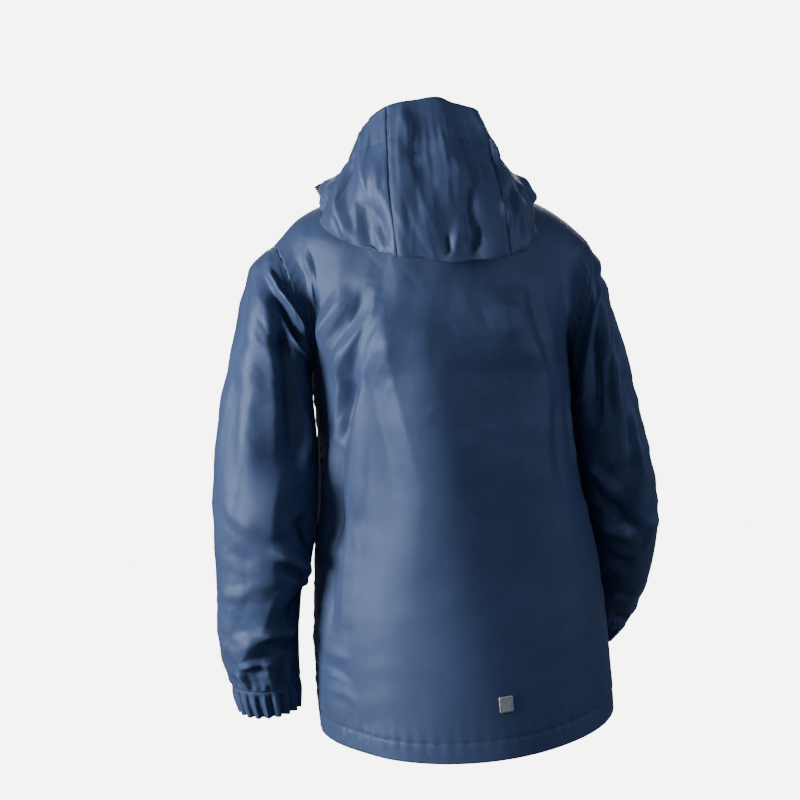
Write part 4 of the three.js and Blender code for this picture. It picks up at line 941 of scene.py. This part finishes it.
def reflectiveMaterial(name):
    # glass-bead reflective tape: pale grey, a soft metallic return, tiny beads and faint rubbed patches
    made, tree = newMaterial(name)
    place = addNode(tree, "TexCoord").outputs["Object"]
    beads = addNode(tree, "TexVoronoi", Vector=place, Scale=2600.0).outputs["Distance"]
    rubbed = addNode(tree, "TexNoise", Vector=place, Scale=260.0, Detail=4.0).outputs["Fac"]
    fade = addNode(tree, "MapRange", n0=rubbed, n1=0.4, n2=0.7, n3=0.0, n4=1.0).outputs[0]
    colour = addNode(tree, "Mix", {"data_type": "RGBA"}, n0=fade, n6=linearColour("#aab0b2"),
                     n7=linearColour("#8b9295")).outputs[2]
    bump = addNode(tree, "Bump", Strength=0.3, Distance=0.0001, Height=beads)
    closeMaterial(tree, addNode(tree, "BsdfPrincipled", Base_Color=colour, Metallic=0.35, Roughness=0.5,
                                Normal=bump.outputs[0]))
    return made


def threadMaterial(name, colour):
    # spun polyester sewing thread: matt, with a fine lengthwise twist
    made, tree = newMaterial(name)
    place = addNode(tree, "TexCoord").outputs["Object"]
    twist = addNode(tree, "TexNoise", Vector=place, Scale=3200.0, Detail=2.0).outputs["Fac"]
    shade = addNode(tree, "MapRange", n0=twist, n1=0.3, n2=0.7, n3=0.0, n4=1.0).outputs[0]
    base = linearColour(colour)
    darker = tuple(0.55 * c for c in base[:3]) + (1.0,)
    mixed = addNode(tree, "Mix", {"data_type": "RGBA"}, n0=shade, n6=darker, n7=base).outputs[2]
    bump = addNode(tree, "Bump", Strength=0.4, Distance=0.0001, Height=twist)
    closeMaterial(tree, addNode(tree, "BsdfPrincipled", Base_Color=mixed, Roughness=0.6, Normal=bump.outputs[0],
                                Sheen_Weight=0.2))
    return made


nylon = nylonMaterial("coated_nylon", nylonLook)
backing = nylonMaterial("nylon_backing", backingLook)
tapeCloth = tapeMaterial("zip_tape_twill", dict(colour="#141b2b", lint="#232c40", twill=900.0))
plastic = plasticMaterial("moulded_acetal", dict(colour="#151b29", worn="#272f40", rough=0.5))
reflectiveCloth = reflectiveMaterial("reflective_tape")
thread = threadMaterial("navy_thread", "#27365a")
print("materials made")

def evenly(start, end, millimetres, spacing=2.35):
    # grid lines a spacing apart over a stretch that many millimetres long
    return np.linspace(start, end, int(millimetres / spacing) + 1)


def finishPiece(made, nodes=(), body="jacket"):
    if nodes:
        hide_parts(*nodes)
    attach(made, body)


seam = 0.0001  # share left open at a seam
zipSide = 0.0362  # where a front's own cloth starts beside the zip's tape
sheets = {}
bodyRows = np.concatenate([evenly(0.0, 1, 205), evenly(1, 1.93, 370)[1:], evenly(1.93, 2, 27, 2.0)[1:]])
pieceList = [
    ("back_panel", "back", lambda u, v: bodyForm(1, u, v), lambda u, v: bodyLift(1, u, v, False),
     evenly(-1 + seam, 1 - seam, 440), bodyRows, 1, False, (0.47, 0.61), 0.26, "draped"),
]
for mirror in (False, True):
    word = "right" if mirror else "left"
    flip = np.array([-1 if mirror else 1, 1, 1])
    outward = 1 if mirror else -1
    pieceList.append((
        "front_panel_" + word, "front_" + word, lambda u, v, flip=flip: bodyForm(-1, u, v) * flip,
        lambda u, v, mirror=mirror: bodyLift(-1, u, v, mirror), evenly(zipSide, 1 - seam, 208), bodyRows,
        outward, False, (0.23, 0.57), 0.115, "draped"))
    rows, cuffEnd = (rightSleeve, rightCuffEnd) if mirror else (leftSleeve, leftCuffEnd)
    folds, creases = (rightSleeveFolds, rightSleeveCreases) if mirror else (leftSleeveFolds, leftSleeveCreases)
    turns = np.linspace(0, 2 * np.pi, 140, endpoint=False)
    pieceList.append((
        "sleeve_cloth_" + word, "sleeve_" + word,
        lambda u, v, rows=rows, mirror=mirror: tubeForm(rows, u, v, mirror),
        lambda u, v, folds=folds, creases=creases, mirror=mirror: sleeveLift(folds, creases, 61 + mirror, u, v),
        turns, evenly(0.0002, 1.0, 490), outward, True, (0.32, 0.45), 0.125, "draped"))
    cuffTable = cuffRows(rows, cuffEnd)
    cuffTurns = np.linspace(0, 2 * np.pi, 216, endpoint=False)
    pieceList.append((
        "cuff_cloth_" + word, "cuff_" + word,
        lambda u, v, rows=cuffTable, mirror=mirror: tubeForm(rows, u, v, mirror),
        lambda u, v, mirror=mirror: cuffLift(2 + mirror, u, v, 1 / 3), cuffTurns, np.linspace(0.32, 1, 24),
        outward, True, (0.26, 0.035), None, "gathered"))
hoodAlongs = np.concatenate([evenly(0, 0.9, 235), evenly(0.9, 1, 26, 1.8)[1:]])
pieceList += [
    ("hood_gusset", "hood_centre", hoodForm, hoodLift, evenly(-0.2206, 0.2206, 170), hoodAlongs, -1, False,
     (0.17, 0.27), None, "draped"),
    ("hood_side_left", "hood_left", hoodForm, hoodLift, evenly(0.2194, hoodFront, 270), hoodAlongs, -1, False,
     (0.22, 0.25), 0.034, "draped"),
    ("hood_side_right", "hood_right", hoodForm, hoodLift, evenly(-hoodFront, -0.2194, 260), hoodAlongs, -1, False,
     (0.22, 0.25), 0.034, "draped"),
]
for name, node, form, lift, us, vs, outward, wrapped, flat, area, held in pieceList:
    made, sheets[name] = clothSheet(name, form, lift, us, vs, outward, [nylon, backing], wrapped=wrapped)
    finishPiece(made, [node])
    print("made", name)

zipLook = dict(pitch=2.7, toothWidth=3.6, toothDepth=1.15, toothHeight=1.0, hoodEnd=0.9748, bottom=2 - 2.2 / skirt,
               sliderV=0.965)


def tapeForm(mirror):
    # u runs across the tape from its toothed edge; v from -1 to 0 runs down the hood's front end, then as on the front
    flip = np.array([-1 if mirror else 1, 1, 1])

    def form(u, v):
        under = np.where(u > 1, 1 + 2.6 * (u - 1), u)  # its inner edge passes further under the hood's end
        onHood = hoodForm(flip[0] * mix(1, zipLook["hoodEnd"], under), np.maximum(-v, 0.01))
        onFront = bodyForm(-1, mix(0.0008, bodyCut["tapeShare"], u), np.maximum(v, 0)) * flip
        return np.where((v < 0)[..., None], onHood, onFront)

    return form


def toothRow(path, normals, across, pitch, shift, look):
    # moulded teeth, one every pitch: a block across the tape's edge, narrower at its front face
    steps = np.linalg.norm(np.diff(path, axis=0), axis=1)
    run = np.concatenate([[0], np.cumsum(steps)])
    at = np.arange(pitch * (0.5 + shift), run[-1] - 0.5, pitch)
    pick = lambda values, place: np.stack([np.interp(place, run, values[:, k]) for k in range(3)], -1)
    centre, normal, side = pick(path, at), unit(pick(normals, at)), unit(pick(across, at))
    forward = unit(np.cross(normal, side))
    half = look["toothDepth"] / 2
    inner, outer = -1.25, look["toothWidth"] - 1.25  # the tooth's reach to both sides of the tape's edge
    corners = []
    for out, narrow in ((-0.3, 1.0), (look["toothHeight"] * 0.7, 1.0), (look["toothHeight"], 0.62)):
        for along, over in ((-half, inner), (half, inner), (half, outer), (-half, outer)):
            overMiddle = (inner + outer) / 2
            corners.append(centre + normal * out + forward * along * narrow
                           + side * (overMiddle + (over - overMiddle) * (0.5 + 0.5 * narrow)))
    points = np.stack(corners, 1)
    ring = [(4 * r + k, 4 * r + (k + 1) % 4, 4 * r + 4 + (k + 1) % 4, 4 * r + 4 + k) for r in (0, 1) for k in range(4)]
    quads = np.array(ring + [(3, 2, 1, 0), (8, 9, 10, 11)])
    tris = np.concatenate([quads[:, [0, 1, 2]], quads[:, [0, 2, 3]]])
    if np.mean(np.sum(np.cross(forward, side) * normal, -1)) > 0:
        tris = tris[:, ::-1]
    return points.reshape(-1, 3), (tris[None] + 12 * np.arange(len(at))[:, None, None]).reshape(-1, 3)


teeth = []
for mirror in (False, True):
    word = "right" if mirror else "left"
    tapeVs = np.concatenate([evenly(-1, 0, 250, 4.0)[:-1], evenly(0, zipLook["bottom"], 570, 4.0)])
    made, tape = clothSheet("zip_tape_cloth_" + word, tapeForm(mirror), lambda u, v: -1.3 * smooth((u - 0.82) * 6),
                            np.array([0, 0.25, 0.5, 0.75, 0.85, 1.0, 1.35]), tapeVs, 1 if mirror else -1,
                            [tapeCloth, tapeCloth], thickness=0.9)
    finishPiece(made, ["zip_tape_" + word])
    sheets["zip_tape_" + word] = tape
    edge, normals = tape["points"][:, 0], tape["normals"][:, 0]
    across = unit(tape["points"][:, 1] - edge)
    parted, closed = tapeVs < zipLook["sliderV"] - 0.03, tapeVs > zipLook["sliderV"] + 0.03
    teeth.append(toothRow(edge[parted], normals[parted], across[parted], zipLook["pitch"], 0, zipLook))
    teeth.append(toothRow(edge[closed], normals[closed], across[closed], zipLook["pitch"], 0.5 * mirror, zipLook))
points, faces = joined(teeth)
finishPiece(meshFrom("zip_teeth", points / 1000, [faces], [plastic], smoothFaces=False))
for name in ("zip_slider", "zip_pull", "zip_box"):
    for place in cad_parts[name].material_slots:
        place.material = plastic
print("made the zip")

tabLook = dict(angle=-7.2, z=-533, width=12, height=17, off=1.1, thickness=0.7, round=1.2)


def tabPlace(look, x, y):
    # a place on the back panel, x and y millimetres from the tab's middle
    drop = skirt + bodyCut["tailDrop"] * np.cos(np.radians(look["angle"])) ** 1.5
    v = 1 + (bodyCut["underarmZ"] - (look["z"] + y)) / drop
    u = (np.radians(look["angle"]) + x / bodyRadius) / (np.pi / 2)
    return onSheet(sheets["back_panel"], u.reshape(-1), v.reshape(-1))


def makeTab(look):
    # the panel's own surface, raised by the tab's thickness, on a small grid with its corners drawn in
    side = 13
    count = side * side
    share = np.linspace(-1, 1, side)
    x, y = np.meshgrid(share * look["width"] / 2, -share * look["height"] / 2)
    corner = np.maximum(np.abs(x) - look["width"] / 2 + look["round"], 0) * np.maximum(
        np.abs(y) - look["height"] / 2 + look["round"], 0) / look["round"] ** 2
    x, y = x - np.sign(x) * corner * 0.35 * look["round"], y - np.sign(y) * corner * 0.35 * look["round"]
    points, normals = tabPlace(look, x, y)
    top = points + normals * look["off"]
    bottom = top - normals * look["thickness"]
    ids = np.arange(count).reshape(side, side)
    front = gridFaces(side, side)
    border = np.concatenate([ids[0], ids[1:, -1], ids[-1, -2::-1], ids[-2:0:-1, 0]])
    after = np.roll(border, -1)
    rim = np.stack([after, border, border + count, after + count], -1)
    a, b, c = top[front[0, 0]], top[front[0, 1]], top[front[0, 2]]
    if np.dot(np.cross(b - a, c - a), normals[0]) < 0:
        front, rim = front[:, ::-1], rim[:, ::-1]
    faces = np.concatenate([front, front[:, ::-1] + count, rim])
    return meshFrom("reflective_tab_cloth", np.concatenate([top, bottom]) / 1000, [faces], [reflectiveCloth])


made = makeTab(tabLook)
finishPiece(made, ["reflective_tab"])

stitchLook = dict(pitch=3.3, length=2.5, width=0.62, height=0.5)


def sewn(sheet, u, v, look=stitchLook, lift=0.1):
    # a row of stitches through places u, v of a made sheet
    path, normals = onSheet(sheet, u, v)
    return beadsAlong(path, normals, look["pitch"], look["length"], look["width"], look["height"], lift)


line = np.linspace(0, 1, 400)
same = 0 * line
hemV, casingAlong = 2 - hemStitch / skirt, 0.915
bodySeams, hoodSeams = [], []
back = sheets["back_panel"]
bodySeams.append(sewn(back, mix(-0.995, 0.995, line), same + hemV))
bodySeams += [sewn(back, same + s * (1 - 4 / 190), mix(0.03, 0.99, line)) for s in (-1, 1)]
bodySeams.append(sewn(back, mix(5 / 12, 0.985, line), same + 0.02))
bodySeams.append(sewn(back, mix(-0.985, -5 / 12, line), same + 0.02))
for word in ("left", "right"):
    front = sheets["front_panel_" + word]
    bodySeams.append(sewn(front, mix(0.04, 0.995, line), same + hemV))
    bodySeams.append(sewn(front, same + 1 - 4 / 190, mix(0.03, 0.99, line)))
    bodySeams.append(sewn(front, same + zipSide + 3 / halfPanel, mix(0.02, 1.985, line)))
for name in ("hood_gusset", "hood_side_left", "hood_side_right"):
    sheet = sheets[name]
    a, b = sheet["us"][0], sheet["us"][-1]
    hoodSeams.append(sewn(sheet, mix(a, b, 0.01 + 0.98 * line), same + casingAlong))
    hoodSeams.append(sewn(sheet, mix(a, b, 0.01 + 0.98 * line), same + 0.02))
for s in (-1, 1):
    hoodSeams.append(sewn(sheets["hood_gusset"], same + s * (gussetShare - 3 / hoodAround), mix(0.02, 0.99, line)))
    word = "left" if s > 0 else "right"
    hoodSeams.append(sewn(sheets["hood_side_" + word], same + s * (gussetShare + 3 / hoodAround), mix(0.02, 0.99, line)))
    hoodSeams.append(sewn(sheets["hood_side_" + word], same + s * (hoodFront - 3 / hoodAround), mix(0.02, 0.99, line)))
tabStitches = []
for x0, y0, x1, y1 in ((-1, -1, 1, -1), (1, -1, 1, 1), (1, 1, -1, 1), (-1, 1, -1, -1)):
    half = np.array([tabLook["width"] / 2 - 1.3, tabLook["height"] / 2 - 1.3])
    path, normals = tabPlace(tabLook, mix(x0, x1, line[::20]) * half[0], mix(y0, y1, line[::20]) * half[1])
    tabStitches.append(beadsAlong(path + normals * tabLook["off"], normals, 1.9, 1.4, 0.4, 0.35))
for name, parts in (("body_stitching", bodySeams + tabStitches), ("hood_stitching", hoodSeams)):
    points, faces = joined(parts)
    finishPiece(meshFrom(name, points / 1000, [faces], [thread]))
    print("made", name, len(faces), "triangles")

print("finished")
